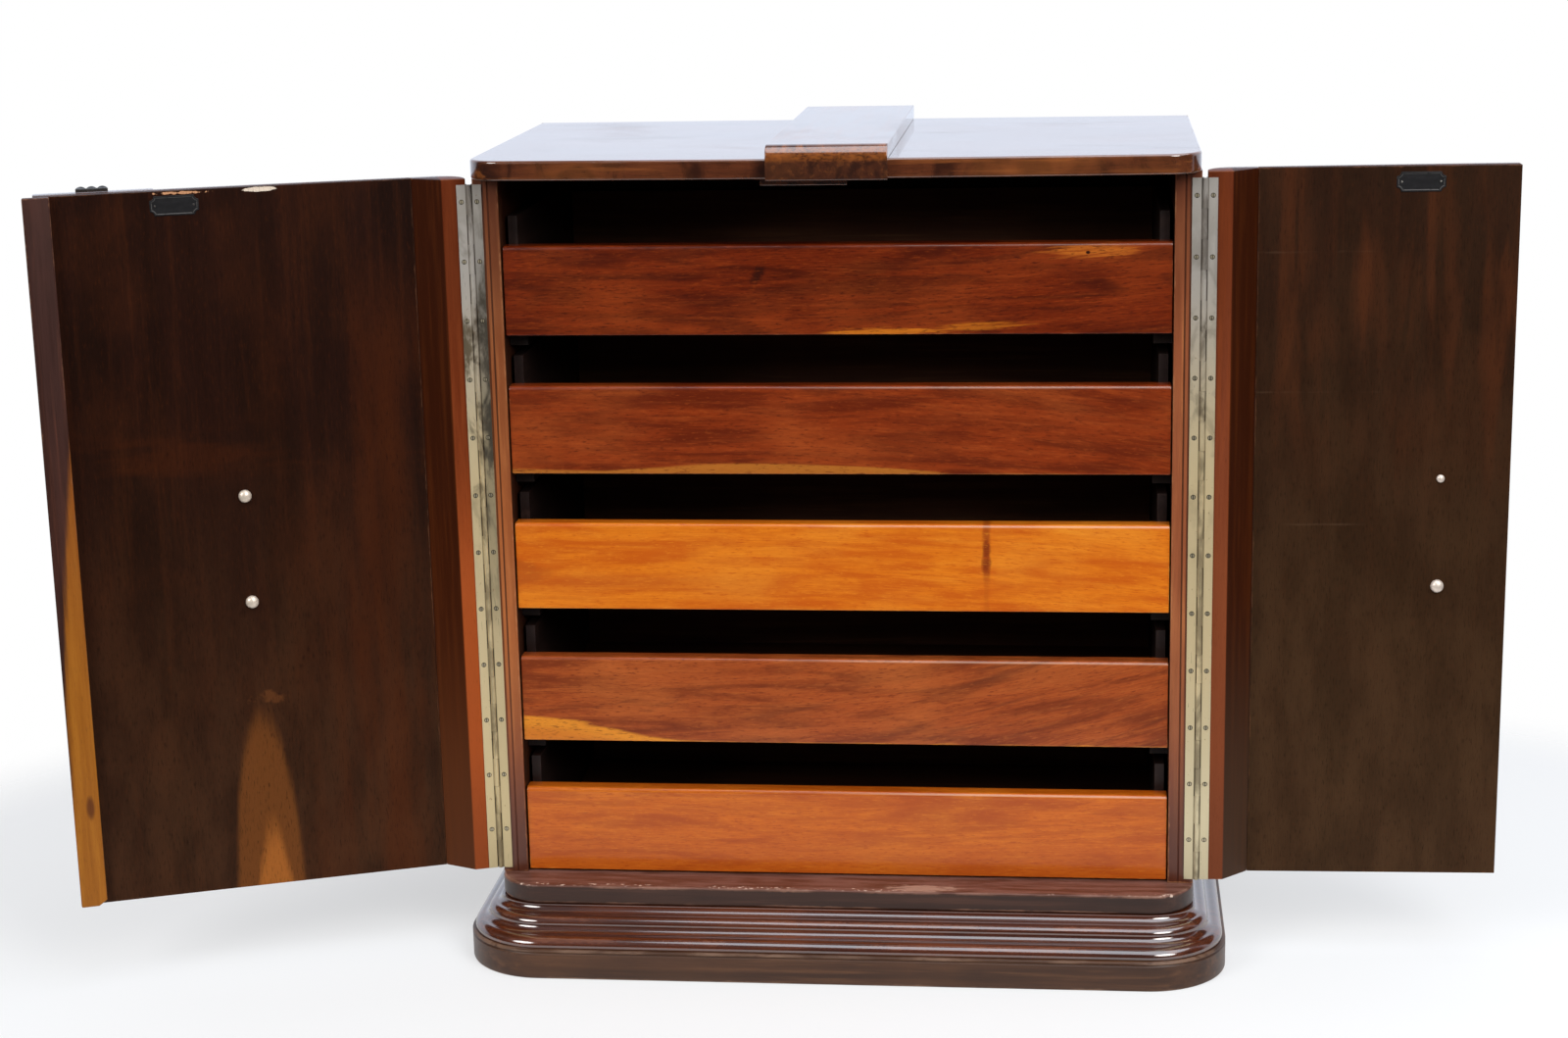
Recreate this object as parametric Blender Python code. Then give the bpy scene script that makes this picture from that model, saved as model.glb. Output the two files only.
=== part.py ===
"""Two-door cabinet with five trays, built in metres, +Z up, front towards -Y.

The origin is the middle of the base board's underside. The doors stand open at
OPEN_LEFT and OPEN_RIGHT, turned about their hinge pins from the closed position.
"""
import math

import bmesh
import bpy

# Gaps
SEAT = 0.0003
TURN_GAP = 0.0012

# Case
CABINET_H = 0.720
CASE_W = 0.610
CASE_D = 0.309
SIDE_T = 0.022
SIDE_GROOVE_X = 0.009
SIDE_GROOVE_R = 0.0008
BACK_T = 0.006
BACK_INSET = 0.003
REBATE_X = 0.010

# Base, boards and their rounded front corners
BASE_OVER = 0.0285
BASE_FRONT = 0.072
BASE_H = 0.0265
BASE_R = 0.070
BASE_BEAD = 0.0022
BASE_EASE = 0.0012
REED_SET = 0.004
REED_FOOT = 0.0016
LOW_ROUND_D = 0.0100
LOW_ROUND_H = 0.0072
LOW_COVE_D = 0.0086
LOW_COVE_H = 0.0062
HIGH_ROUND_D = 0.0084
HIGH_ROUND_H = 0.0060
HIGH_COVE_D = 0.0080
HIGH_COVE_H = 0.0061
BOTTOM_OVER = 0.0005
BOTTOM_T = 0.0171
BOTTOM_R = 0.0387
BOTTOM_FRONT = 0.032
TOP_IN = 0.001
TOP_T = 0.0165
TOP_R = 0.027
TOP_SETBACK = 0.003
EDGE_R = 0.002

# Strip over the top, and the stop under it
STRIP_W = 0.100
STRIP_T = 0.012
STRIP_R = 0.011
STRIP_EASE = 0.001
STOP_X = -0.0215
STOP_W = 0.073
STOP_D = 0.030
STOP_H = 0.0065
STOP_EASE = 0.0008

# Continuous hinges
PIN_OUT = 0.0024
PIN_R = 0.00125
BORE_R = 0.0014
KNUCKLE_R = 0.0021
KNUCKLE_L = 0.0254
KNUCKLE_GAP = 0.0003
LEAF_T = 0.0008
LEAF_GAP = 0.00015
LEAF_W = 0.0105
LEAF_ROOT = 0.0025
HINGE_LIFT = 0.0042
HINGE_HEAD = 0.004

# Doors, measured from the pin: u across the door, v outwards
OPEN_LEFT = math.radians(158.8)
OPEN_RIGHT = math.radians(181.3)
PANEL_V = 0.0229
PANEL_T = 0.0171
DOOR_BOW = 0.008
POST_R = 0.025
STRIP_U = 0.0227
BEVEL_U = 0.0452
DOOR_EASE = 0.0008
MEET_X = 0.0484
MEET_GAP = 0.0008
BAND_PROUD = 0.0004
BAND_R = 0.003
TRIPLE_W = 0.0264
TRIPLE_ROOT = 0.004
TRIPLE_DIP = 30
TRIPLE_RISE = 0.0035
TRIPLE_EASE = 0.0006
LIP_W = 0.022
LIP_T = 0.007
LIP_OVER = 0.0088
LIP_CUT_U = 0.007
LIP_CUT_Z = 0.005
LIP_EASE = 0.001
PULL_U = 0.201
PULL_SPACING = 0.0935
PULL_OUT = 0.026
PULL_W = 0.012
PULL_T = 0.008
PULL_BEND = 0.010

# Trays
TRAYS = 5
TRAY_GAP = 0.0439
TRAY_HEAD = 0.0592
TRAY_LIFT = 0.0016
TRAY_SIDE_PLAY = 0.00105
TRAY_SETBACK = 0.0044
TRAY_FRONT_T = 0.016
TRAY_FRONT_R = 0.0035
TRAY_EASE = 0.001
TRAY_SIDE_T = 0.008
TRAY_SIDE_IN = 0.0025
TRAY_SIDE_CLEAR = 0.0083
TRAY_BACK_PLAY = 0.0147
TRAY_FLOOR_T = 0.005
TRAY_FLOOR_UP = 0.008
TRAY_GROOVE = 0.004
TRAY_BACK_T = 0.008
TRAY_BACK_DROP = 0.010
RUNNER_W = 0.0157
RUNNER_H = 0.010
RUNNER_BACK = 0.004

# Levels and planes that several pieces share
BASE_W = CASE_W + 2 * BASE_OVER
BASE_D = CASE_D + BASE_FRONT
PIN_X = CASE_W / 2 + PIN_OUT
PIN_Y = BASE_D / 2 - CASE_D
BACK_Y = BASE_D / 2
WOOD_GAP = LEAF_GAP + LEAF_T + SEAT
REED_H = REED_FOOT + LOW_ROUND_H + LOW_COVE_H + HIGH_ROUND_H + HIGH_COVE_H
SIDE_SHARE = (BASE_OVER - BOTTOM_OVER) / (BASE_FRONT - BOTTOM_FRONT)
REED_Z = BASE_H + SEAT
BOTTOM_Z = REED_Z + REED_H + SEAT
FLOOR_Z = BOTTOM_Z + BOTTOM_T
STRIP_Z = CABINET_H - STRIP_T
TOP_Z = STRIP_Z - SEAT - TOP_T
CASE_CLEAR = TOP_Z - FLOOR_Z
HINGE_Z = FLOOR_Z + HINGE_LIFT
KNUCKLES = 2 * int((CASE_CLEAR - HINGE_LIFT - HINGE_HEAD) / (2 * KNUCKLE_L))
HINGE_L = KNUCKLES * KNUCKLE_L
DOOR_CROWN = PANEL_V + PANEL_T
DOOR_Z = (HINGE_Z - SEAT, TOP_Z - TURN_GAP)
TOP_CROWN = DOOR_CROWN - TOP_SETBACK
STRIP_FRONT = TOP_CROWN + SEAT + STRIP_T
BAND_V = STRIP_FRONT + BAND_PROUD - DOOR_CROWN
SIDE_IN = CASE_W / 2 - SIDE_T
REBATE_Y = BACK_Y - BACK_INSET - BACK_T - SEAT
LEFT_W = PIN_X + MEET_X - MEET_GAP / 2
RIGHT_W = PIN_X - MEET_X - MEET_GAP / 2
TRAY_W = 2 * (SIDE_IN - TRAY_SIDE_PLAY)
TRAY_H = (CASE_CLEAR - TRAY_LIFT - TRAY_HEAD - (TRAYS - 1) * TRAY_GAP) / TRAYS
TRAY_PITCH = TRAY_H + TRAY_GAP
TRAY_SIDE_RISE = TRAY_GAP - TRAY_LIFT - RUNNER_H - TRAY_SIDE_CLEAR

WALNUT = (0.075, 0.030, 0.014)
CEDAR = (0.33, 0.085, 0.030)
PALE_WOOD = (0.16, 0.085, 0.045)
EBONY = (0.010, 0.008, 0.007)
NICKEL = (0.62, 0.58, 0.49)


def finish(name, verts, faces, colour, metallic=0.0, roughness=0.35):
    """Closed mesh object with outward faces and its own material."""
    bm = bmesh.new()
    corners = [bm.verts.new(v) for v in verts]
    for face in faces:
        bm.faces.new([corners[i] for i in face])
    bmesh.ops.recalc_face_normals(bm, faces=bm.faces[:])
    mesh = bpy.data.meshes.new(name)
    bm.to_mesh(mesh)
    bm.free()
    material = bpy.data.materials.new(name)
    material.use_nodes = True
    shader = material.node_tree.nodes["Principled BSDF"]
    shader.inputs["Base Color"].default_value = (*colour, 1.0)
    shader.inputs["Metallic"].default_value = metallic
    shader.inputs["Roughness"].default_value = roughness
    mesh.materials.append(material)
    ob = bpy.data.objects.new(name, mesh)
    bpy.context.scene.collection.objects.link(ob)
    return ob


def anticlockwise(points):
    """The loop in anticlockwise order, from its signed area."""
    area = 0.0
    for (ax, ay), (bx, by) in zip(points, points[1:] + points[:1]):
        area += ax * by - bx * ay
    return list(points) if area > 0 else list(reversed(points))


def inset_loop(points, inset):
    """An anticlockwise loop moved in by the inset, with mitred corners."""
    moved = []
    for i, (px, py) in enumerate(points):
        ax, ay = points[i - 1]
        bx, by = points[(i + 1) % len(points)]
        la = math.hypot(px - ax, py - ay)
        lb = math.hypot(bx - px, by - py)
        n1 = (-(py - ay) / la, (px - ax) / la)
        n2 = (-(by - py) / lb, (bx - px) / lb)
        scale = inset / (1 + n1[0] * n2[0] + n1[1] * n2[1])
        moved.append((px + scale * (n1[0] + n2[0]), py + scale * (n1[1] + n2[1])))
    return moved


def drawn_in(points, inset):
    """The base outline drawn in about its corner centres, by less at the sides, where it overhangs less."""
    middle = BASE_W / 2 - BASE_R
    front = BASE_R - BASE_D / 2
    moved = []
    for x, y in points:
        out = max(abs(x) - middle, 0.0) * (1 - inset * SIDE_SHARE / BASE_R)
        ahead = max(front - y, 0.0) * (1 - inset / BASE_R)
        moved.append((math.copysign(min(abs(x), middle) + out, x), max(y, front) - ahead))
    return moved


def prism(name, points, levels, colour, axis="z", flush=None, roughness=0.35, shrink=inset_loop):
    """A loop carried along an axis through (inset, position) levels; flush keeps one edge in place."""
    order = {"z": (0, 1, 2), "x": (2, 0, 1), "y": (0, 2, 1)}[axis]
    loop = anticlockwise(points)
    count = len(loop)
    verts = []
    for inset, position in levels:
        for (a, b), (_, kept) in zip(shrink(loop, inset), loop):
            if flush is not None and kept == flush:
                b = flush
            verts.append(tuple((a, b, position)[i] for i in order))
    faces = [list(range(count)), list(range(len(verts) - count, len(verts)))]
    for step in range(len(levels) - 1):
        low = step * count
        for i in range(count):
            j = (i + 1) % count
            faces.append((low + i, low + j, low + count + j, low + count + i))
    return finish(name, verts, faces, colour, roughness=roughness)


def eased(low, high, radius, steps=2):
    """Levels that round both ends of a prism by a radius."""
    turn = [math.pi / 2 * i / steps for i in range(steps + 1)]
    start = [(radius * (1 - math.sin(t)), low + radius * (1 - math.cos(t))) for t in turn]
    end = [(inset, low + high - position) for inset, position in reversed(start)]
    return start + end


def square(low, high):
    """Levels of a prism with plain ends."""
    return [(0.0, low), (0.0, high)]


def rectangle(a0, a1, b0, b1):
    return [(a0, b0), (a1, b0), (a1, b1), (a0, b1)]


def corner_arc(centre, radius, start, end, steps):
    """Points on an arc, angles in degrees."""
    turn = [math.radians(start + (end - start) * i / steps) for i in range(steps + 1)]
    return [(centre[0] + radius * math.cos(t), centre[1] + radius * math.sin(t)) for t in turn]


def bow(x, crown):
    """How far a bowed front stands before the pins, x from the middle of the cabinet."""
    return crown - DOOR_BOW * (x / PIN_X) ** 2


def bow_corner(half, radius, crown, steps=7):
    """Rounded corner from the side at -half to where it runs into the bowed front."""
    middle = -half + radius
    touch = middle
    for _ in range(8):
        end = math.pi / 2 - math.atan(-2 * DOOR_BOW * touch / PIN_X ** 2)
        touch = middle - radius * math.cos(end)
    foot = bow(touch, crown) - radius * math.sin(end)
    turn = [end * i / steps for i in range(steps + 1)]
    return [(middle - radius * math.cos(t), foot + radius * math.sin(t)) for t in turn]


def spread(first, last, count):
    return [first + (last - first) * i / count for i in range(count + 1)]


def straight_outline(width, front, radius):
    """Board with square back corners and rounded front corners."""
    half = width / 2
    left = corner_arc((-half + radius, front + radius), radius, 180, 270, 9)
    right = corner_arc((half - radius, front + radius), radius, 270, 360, 9)
    return [(-half, BACK_Y)] + left + right + [(half, BACK_Y)]


def bowed_outline(width, crown, radius):
    """Board with square back corners, rounded front corners and a bowed front."""
    left = bow_corner(width / 2, radius, crown)
    across = spread(left[-1][0], -left[-1][0], 8)[1:-1]
    front = left + [(x, bow(x, crown)) for x in across] + [(-x, f) for x, f in reversed(left)]
    return [(-width / 2, BACK_Y)] + [(x, PIN_Y - f) for x, f in front] + [(width / 2, BACK_Y)]


def quarter_arc(inset, z, deep, rise, hollow, steps=5):
    """Levels of a quarter round, or of a quarter cove, that steps in by its depth as it rises."""
    turn = [math.pi / 2 * i / steps for i in range(1, steps + 1)]
    if hollow:
        return [(inset + deep * math.sin(t), z + rise * (1 - math.cos(t))) for t in turn]
    return [(inset + deep * (1 - math.cos(t)), z + rise * math.sin(t)) for t in turn]


def reeded_edge():
    """Levels of the moulded edge: a round and a cove, and again, stepping in as they rise."""
    steps = [(LOW_ROUND_D, LOW_ROUND_H, False), (LOW_COVE_D, LOW_COVE_H, True),
             (HIGH_ROUND_D, HIGH_ROUND_H, False), (HIGH_COVE_D, HIGH_COVE_H, True)]
    levels = [(REED_SET, REED_Z), (REED_SET, REED_Z + REED_FOOT)]
    for deep, rise, hollow in steps:
        levels += quarter_arc(*levels[-1], deep, rise, hollow)
    return levels


def build_base():
    base = straight_outline(BASE_W, -BASE_D / 2, BASE_R)
    quirk = BASE_H - BASE_BEAD
    bead = corner_arc((BASE_BEAD, quirk), BASE_BEAD, 180, 90, 3)
    groove = [(0.0, quirk - BASE_BEAD), (BASE_BEAD / 2, quirk - BASE_BEAD / 3)]
    edge = [(BASE_EASE, 0.0), (0.0, BASE_EASE)] + groove + bead
    prism("base_board", base, edge, WALNUT, flush=BACK_Y)
    prism("reeded_board", base, reeded_edge(), WALNUT, flush=BACK_Y, roughness=0.2, shrink=drawn_in)
    bottom = straight_outline(CASE_W + 2 * BOTTOM_OVER, PIN_Y - BOTTOM_FRONT, BOTTOM_R)
    prism("bottom_board", bottom, eased(BOTTOM_Z, FLOOR_Z, EDGE_R), WALNUT, flush=BACK_Y)


def build_top():
    top = bowed_outline(CASE_W - 2 * TOP_IN, TOP_CROWN, TOP_R)
    prism("top_board", top, eased(TOP_Z, TOP_Z + TOP_T, EDGE_R), WALNUT, flush=BACK_Y, roughness=0.15)
    inner = PIN_Y - TOP_CROWN - SEAT
    outer = PIN_Y - STRIP_FRONT
    crest = STRIP_Z + STRIP_T
    nose = corner_arc((outer + STRIP_R, crest - STRIP_R), STRIP_R, 180, 90, 7)
    strip = [(BACK_Y, STRIP_Z), (inner, STRIP_Z), (inner, TOP_Z), (outer, TOP_Z)] + nose + [(BACK_Y, crest)]
    ends = eased(-STRIP_W / 2, STRIP_W / 2, STRIP_EASE)
    prism("top_strip", strip, ends, WALNUT, axis="x", roughness=0.15)
    front = PIN_Y - PANEL_V + 2 * SEAT
    stop = rectangle(STOP_X - STOP_W / 2, STOP_X + STOP_W / 2, front, front + STOP_D)
    high = TOP_Z - SEAT
    low = high - STOP_H
    prism("stop_block", stop, [(STOP_EASE, low), (0.0, low + STOP_EASE), (0.0, high)], WALNUT)


def build_case():
    front = PIN_Y + WOOD_GAP
    back = BACK_Y - BACK_INSET
    groove = SIDE_IN + SIDE_GROOVE_X
    low = FLOOR_Z + SEAT
    high = TOP_Z - SEAT
    for side, sign in (("left", -1), ("right", 1)):
        outline = [
            (SIDE_IN, front), (groove - SIDE_GROOVE_R, front), (groove, front + SIDE_GROOVE_R),
            (groove + SIDE_GROOVE_R, front), (CASE_W / 2, front), (CASE_W / 2, back),
            (SIDE_IN + REBATE_X, back), (SIDE_IN + REBATE_X, REBATE_Y), (SIDE_IN, REBATE_Y),
        ]
        prism(side + "_side", [(sign * x, y) for x, y in outline], square(low, high), WALNUT)
    half = SIDE_IN + REBATE_X - SEAT
    panel = rectangle(-half, half, REBATE_Y + SEAT, back)
    prism("back_panel", panel, square(low, high), PALE_WOOD, roughness=0.6)


def leaf_ring(sign):
    """Plate corners, ring and bore of a hinge leaf, x away from the pin, y by the sign."""
    near = LEAF_GAP
    far = LEAF_GAP + LEAF_T
    plate = [(LEAF_ROOT, near), (LEAF_W, near), (LEAF_W, far), (LEAF_ROOT, far)]
    first = math.asin(near / KNUCKLE_R)
    second = math.asin(far / KNUCKLE_R)
    turn = [first] + spread(second, first + 2 * math.pi, 9)[:-1]
    ring = [(KNUCKLE_R * math.cos(t), KNUCKLE_R * math.sin(t)) for t in turn]
    bore = [(BORE_R * math.cos(t), BORE_R * math.sin(t)) for t in turn]
    return [[(x, sign * y) for x, y in loop] for loop in (plate, ring, bore)]


def hinge_leaf(name, direction, sign, odd):
    """Plate with every other knuckle, about a pin on the z axis of its own frame."""
    plate, ring, bore = leaf_ring(sign)
    segments = len(ring)
    spans = []
    for k in range(KNUCKLES):
        low = k * KNUCKLE_L
        if k % 2 == odd:
            spans.append((low + KNUCKLE_GAP / 2, low + KNUCKLE_L - KNUCKLE_GAP / 2))
    stops = [0.0] + [z for span in spans for z in span] + [HINGE_L]
    verts = []
    faces = []
    rows = []
    for number, z in enumerate(stops):
        loops = [plate] if number in (0, len(stops) - 1) else [plate, ring, bore]
        row = []
        for loop in loops:
            row.append(range(len(verts), len(verts) + len(loop)))
            verts += [(direction * x, y, HINGE_Z + z) for x, y in loop]
        rows.append(row)

    def wall(low, high, i, j):
        faces.append((low[i], low[j], high[j], high[i]))

    for step in range(len(stops) - 1):
        low, high = rows[step], rows[step + 1]
        for i in range(3):
            wall(low[0], high[0], i, i + 1)
        if step % 2 == 0:
            wall(low[0], high[0], 3, 0)
            continue
        faces.append((low[0][3], low[1][1], high[1][1], high[0][3]))
        faces.append((low[1][0], low[0][0], high[0][0], high[1][0]))
        for i in range(segments):
            j = (i + 1) % segments
            if i:
                wall(low[1], high[1], i, j)
            wall(low[2], high[2], j, i)
        for row in (low, high):
            faces.append((row[0][0], row[0][3], row[1][1], row[1][0]))
            for i in range(segments):
                j = (i + 1) % segments
                faces.append((row[1][i], row[1][j], row[2][j], row[2][i]))
    faces.append(tuple(rows[0][0]))
    faces.append(tuple(rows[-1][0]))
    return finish(name, verts, faces, NICKEL, metallic=1.0, roughness=0.3)


def hang(ob, side, angle):
    """Stands a door piece on its pin, turned open by the angle."""
    ob.location = (side * PIN_X, PIN_Y, 0.0)
    ob.rotation_euler = (0.0, 0.0, side * angle)


def door_profile(points, side):
    """Door points (u, v) in the pin's frame with the door closed."""
    return [(-side * u, -v) for u, v in points]


def door_face(u0, u1, count, extra=0.0):
    return [(u, bow(u - PIN_X, DOOR_CROWN) + extra) for u in spread(u0, u1, count)]


def build_hinge(name, side, angle):
    pin = [(PIN_R * math.cos(t), PIN_R * math.sin(t)) for t in spread(0, 2 * math.pi, 10)[:-1]]
    ends = square(HINGE_Z, HINGE_Z + HINGE_L)
    rod = prism(name + "_hinge_pin", pin, ends, NICKEL)
    rod.location = (side * PIN_X, PIN_Y, 0.0)
    fixed = hinge_leaf(name + "_case_leaf", -side, 1, 0)
    fixed.location = (side * PIN_X, PIN_Y, 0.0)
    hang(hinge_leaf(name + "_door_leaf", -side, -1, 1), side, angle)


def pull(name, side, angle):
    """Bent bar on two feet, an oval carried round two bends."""
    foot = bow(PULL_U - PIN_X, DOOR_CROWN) + SEAT
    crest = foot + PULL_OUT
    middle = (HINGE_Z + HINGE_Z + HINGE_L) / 2
    low = middle - PULL_SPACING / 2
    high = middle + PULL_SPACING / 2
    path = [((foot, low), (1.0, 0.0))]
    for t in spread(0, math.pi / 2, 4):
        path.append(((crest - PULL_BEND * (1 - math.sin(t)), low + PULL_BEND * (1 - math.cos(t))),
                     (math.cos(t), math.sin(t))))
    for t in spread(0, math.pi / 2, 4):
        path.append(((crest - PULL_BEND * (1 - math.cos(t)), high - PULL_BEND * (1 - math.sin(t))),
                     (-math.sin(t), math.cos(t))))
    path.append(((foot, high), (-1.0, 0.0)))
    turns = spread(0, 2 * math.pi, 10)[:-1]
    verts = []
    for (v, z), (tv, tz) in path:
        for t in turns:
            across = PULL_W / 2 * math.cos(t)
            away = PULL_T / 2 * math.sin(t)
            verts.append((-side * (PULL_U + across), -(v + away * tz), z - away * tv))
    count = len(turns)
    faces = [list(range(count)), list(range(len(verts) - count, len(verts)))]
    for step in range(len(path) - 1):
        for i in range(count):
            j = (i + 1) % count
            low_i = step * count
            faces.append((low_i + i, low_i + j, low_i + count + j, low_i + count + i))
    hang(finish(name, verts, faces, NICKEL, metallic=1.0, roughness=0.25), side, angle)


def build_door(name, side, angle, width):
    levels = eased(DOOR_Z[0], DOOR_Z[1], DOOR_EASE, 1)
    arc = [(x + PIN_X, f) for x, f in bow_corner(CASE_W / 2, POST_R, DOOR_CROWN)]
    face = door_face(arc[-1][0], BEVEL_U, 2)
    post = [(PIN_OUT, WOOD_GAP), (STRIP_U, WOOD_GAP), (BEVEL_U, PANEL_V)] + face[::-1] + arc[-2::-1]
    hang(prism(name + "_post", door_profile(post, side), levels, WALNUT), side, angle)
    start = BEVEL_U + SEAT
    panel = [(start, PANEL_V), (width, PANEL_V)] + door_face(start, width, 8)[::-1]
    hang(prism(name + "_panel", door_profile(panel, side), levels, WALNUT), side, angle)
    pull(name + "_pull", side, angle)


def build_meeting_edge():
    """Band, triple reed and rebate lip carried by the left door."""
    levels = eased(DOOR_Z[0], DOOR_Z[1], DOOR_EASE, 1)
    u0 = PIN_X - STRIP_W / 2
    back = door_face(u0, LEFT_W, 4, SEAT)
    near = bow(u0 - PIN_X, DOOR_CROWN) + BAND_V
    far = bow(LEFT_W - PIN_X, DOOR_CROWN) + BAND_V
    front = door_face(u0 + BAND_R, LEFT_W - BAND_R, 4, BAND_V)
    rounded = corner_arc((LEFT_W - BAND_R, far - BAND_R), BAND_R, 0, 90, 3)[:-1]
    other = corner_arc((u0 + BAND_R, near - BAND_R), BAND_R, 90, 180, 3)[1:]
    band = back + rounded + front[::-1] + other
    hang(prism("centre_band", door_profile(band, -1), levels, WALNUT), -1, OPEN_LEFT)
    root = bow(0.0, DOOR_CROWN) + BAND_V + SEAT
    half = TRIPLE_W / 6
    radius = half / math.cos(math.radians(TRIPLE_DIP))
    middle = root + TRIPLE_ROOT - radius * math.sin(math.radians(TRIPLE_DIP))
    reed = [(PIN_X + TRIPLE_W / 2, root), (PIN_X - TRIPLE_W / 2, root)]
    for i in range(3):
        centre = (PIN_X - TRIPLE_W / 2 + (2 * i + 1) * half, middle)
        reed += corner_arc(centre, radius, 180 - TRIPLE_DIP, TRIPLE_DIP, 6)[:6 if i < 2 else 7]
    tall = eased(DOOR_Z[0], DOOR_Z[1] + TRIPLE_RISE, TRIPLE_EASE, 1)
    hang(prism("triple_reed", door_profile(reed, -1), tall, EBONY), -1, OPEN_LEFT)
    u1 = LEFT_W + LIP_OVER
    lip = [
        (u1 - LIP_W + LIP_CUT_U, DOOR_Z[0]), (u1, DOOR_Z[0]), (u1, DOOR_Z[1]),
        (u1 - LIP_W, DOOR_Z[1]), (u1 - LIP_W, DOOR_Z[0] + LIP_CUT_Z),
    ]
    seat = SEAT - PANEL_V
    ends = [(0.0, seat), (0.0, seat + LIP_T - LIP_EASE), (LIP_EASE, seat + LIP_T)]
    hang(prism("left_door_lip", lip, ends, WALNUT, axis="y"), -1, OPEN_LEFT)


def build_tray(number):
    name = "tray_" + str(number + 1)
    low = FLOOR_Z + TRAY_LIFT + number * TRAY_PITCH
    high = low + TRAY_H
    face = PIN_Y + TRAY_SETBACK
    back = face + TRAY_FRONT_T
    end = REBATE_Y - TRAY_BACK_PLAY
    foot = FLOOR_Z + SEAT + number * TRAY_PITCH
    groove = foot + TRAY_FLOOR_UP
    groove_top = groove + TRAY_FLOOR_T + 2 * SEAT
    nose = corner_arc((face + TRAY_FRONT_R, high - TRAY_FRONT_R), TRAY_FRONT_R, 90, 180, 4)
    front = [
        (face, low + TRAY_EASE), (face + TRAY_EASE, low), (back, low), (back, groove),
        (back - TRAY_GROOVE, groove), (back - TRAY_GROOVE, groove_top), (back, groove_top),
        (back, high - TRAY_EASE), (back - TRAY_EASE, high),
    ] + nose
    ends = eased(-TRAY_W / 2, TRAY_W / 2, TRAY_EASE, 1)
    prism(name + "_front", front, ends, CEDAR, axis="x", roughness=0.4)
    crest = high + TRAY_SIDE_RISE
    outer = TRAY_W / 2 - TRAY_SIDE_IN
    inner = outer - TRAY_SIDE_T
    for side, sign in (("left", -1), ("right", 1)):
        outline = [
            (inner, foot), (outer, foot), (outer, crest), (inner, crest),
            (inner, groove_top), (inner + TRAY_GROOVE, groove_top),
            (inner + TRAY_GROOVE, groove), (inner, groove),
        ]
        board = [(sign * x, z) for x, z in outline]
        along = square(back + SEAT, end)
        prism(name + "_" + side + "_side", board, along, PALE_WOOD, axis="y", roughness=0.55)
    reach = inner + TRAY_GROOVE - SEAT
    floor = rectangle(-reach, reach, back - TRAY_GROOVE + SEAT, end)
    prism(name + "_floor", floor, square(groove + SEAT, groove_top - SEAT), PALE_WOOD, roughness=0.6)
    rear = rectangle(-inner + SEAT, inner - SEAT, end - TRAY_BACK_T, end)
    prism(name + "_back", rear, square(groove_top, crest - TRAY_BACK_DROP), PALE_WOOD, roughness=0.55)
    if number:
        for side, sign in (("left", -1), ("right", 1)):
            x0 = sign * (SIDE_IN - SEAT)
            x1 = sign * (SIDE_IN - SEAT - RUNNER_W)
            strip = rectangle(min(x0, x1), max(x0, x1), back + RUNNER_BACK, end)
            rail = "runner_" + side + "_" + str(number + 1)
            prism(rail, strip, square(foot - SEAT - RUNNER_H, foot - SEAT), PALE_WOOD, roughness=0.6)


def build():
    for ob in list(bpy.data.objects):
        bpy.data.objects.remove(ob, do_unlink=True)
    build_base()
    build_case()
    build_top()
    doors = (("left", -1, OPEN_LEFT, LEFT_W), ("right", 1, OPEN_RIGHT, RIGHT_W))
    for name, side, angle, width in doors:
        build_hinge(name, side, angle)
        build_door(name + "_door", side, angle, width)
    build_meeting_edge()
    for number in range(TRAYS):
        build_tray(number)


build()
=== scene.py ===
import math

import bmesh
import bpy
import numpy as np
from mathutils import Matrix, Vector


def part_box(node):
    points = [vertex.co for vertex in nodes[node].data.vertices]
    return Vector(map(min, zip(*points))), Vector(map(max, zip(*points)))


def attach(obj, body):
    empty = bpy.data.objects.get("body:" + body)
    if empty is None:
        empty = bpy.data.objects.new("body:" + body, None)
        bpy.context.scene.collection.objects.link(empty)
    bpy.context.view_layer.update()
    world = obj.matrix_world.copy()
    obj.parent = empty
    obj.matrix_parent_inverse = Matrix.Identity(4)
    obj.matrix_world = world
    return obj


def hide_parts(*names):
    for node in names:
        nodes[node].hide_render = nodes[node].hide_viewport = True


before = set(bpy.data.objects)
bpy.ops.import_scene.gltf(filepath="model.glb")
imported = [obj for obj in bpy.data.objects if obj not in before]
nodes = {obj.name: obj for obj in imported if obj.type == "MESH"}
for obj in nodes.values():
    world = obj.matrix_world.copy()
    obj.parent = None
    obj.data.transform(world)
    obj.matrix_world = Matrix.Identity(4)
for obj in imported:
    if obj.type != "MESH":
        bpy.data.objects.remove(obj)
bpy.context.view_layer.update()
print("frame loaded:", len(nodes), "nodes")

# Sizes that several pieces share, in metres, as the frame has them
pinX, pinY, backY, seat = 0.3074, -0.1185, 0.1905, 0.0003
doorLow, doorHigh, panelIn, panelThick = 0.0752, 0.6900, 0.0229, 0.0171
crown, bow, stripWide = 0.0400, 0.0080, 0.100
openBy = {-1: 158.8, 1: 181.3}              # degrees from closed, left -1 and right 1
bothSides = (("left", -1), ("right", 1))
flatHold = 0.0006                           # a flat run beside an arc is held flat from here on


def unit(d):
    # each vector divided by its own length
    return d / np.linalg.norm(d, axis=-1, keepdims=True)


def rows(*columns):
    # columns set side by side, one row for each point
    return np.stack(np.broadcast_arrays(*columns), -1)


def quarter(steps):
    # sine and cosine at even steps over a quarter turn
    t = np.linspace(0, math.pi / 2, steps + 1)
    return np.sin(t), np.cos(t)


def rectangle(left, right, low, high):
    return (left, low), (right, low), (right, high), (left, high)


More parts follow.
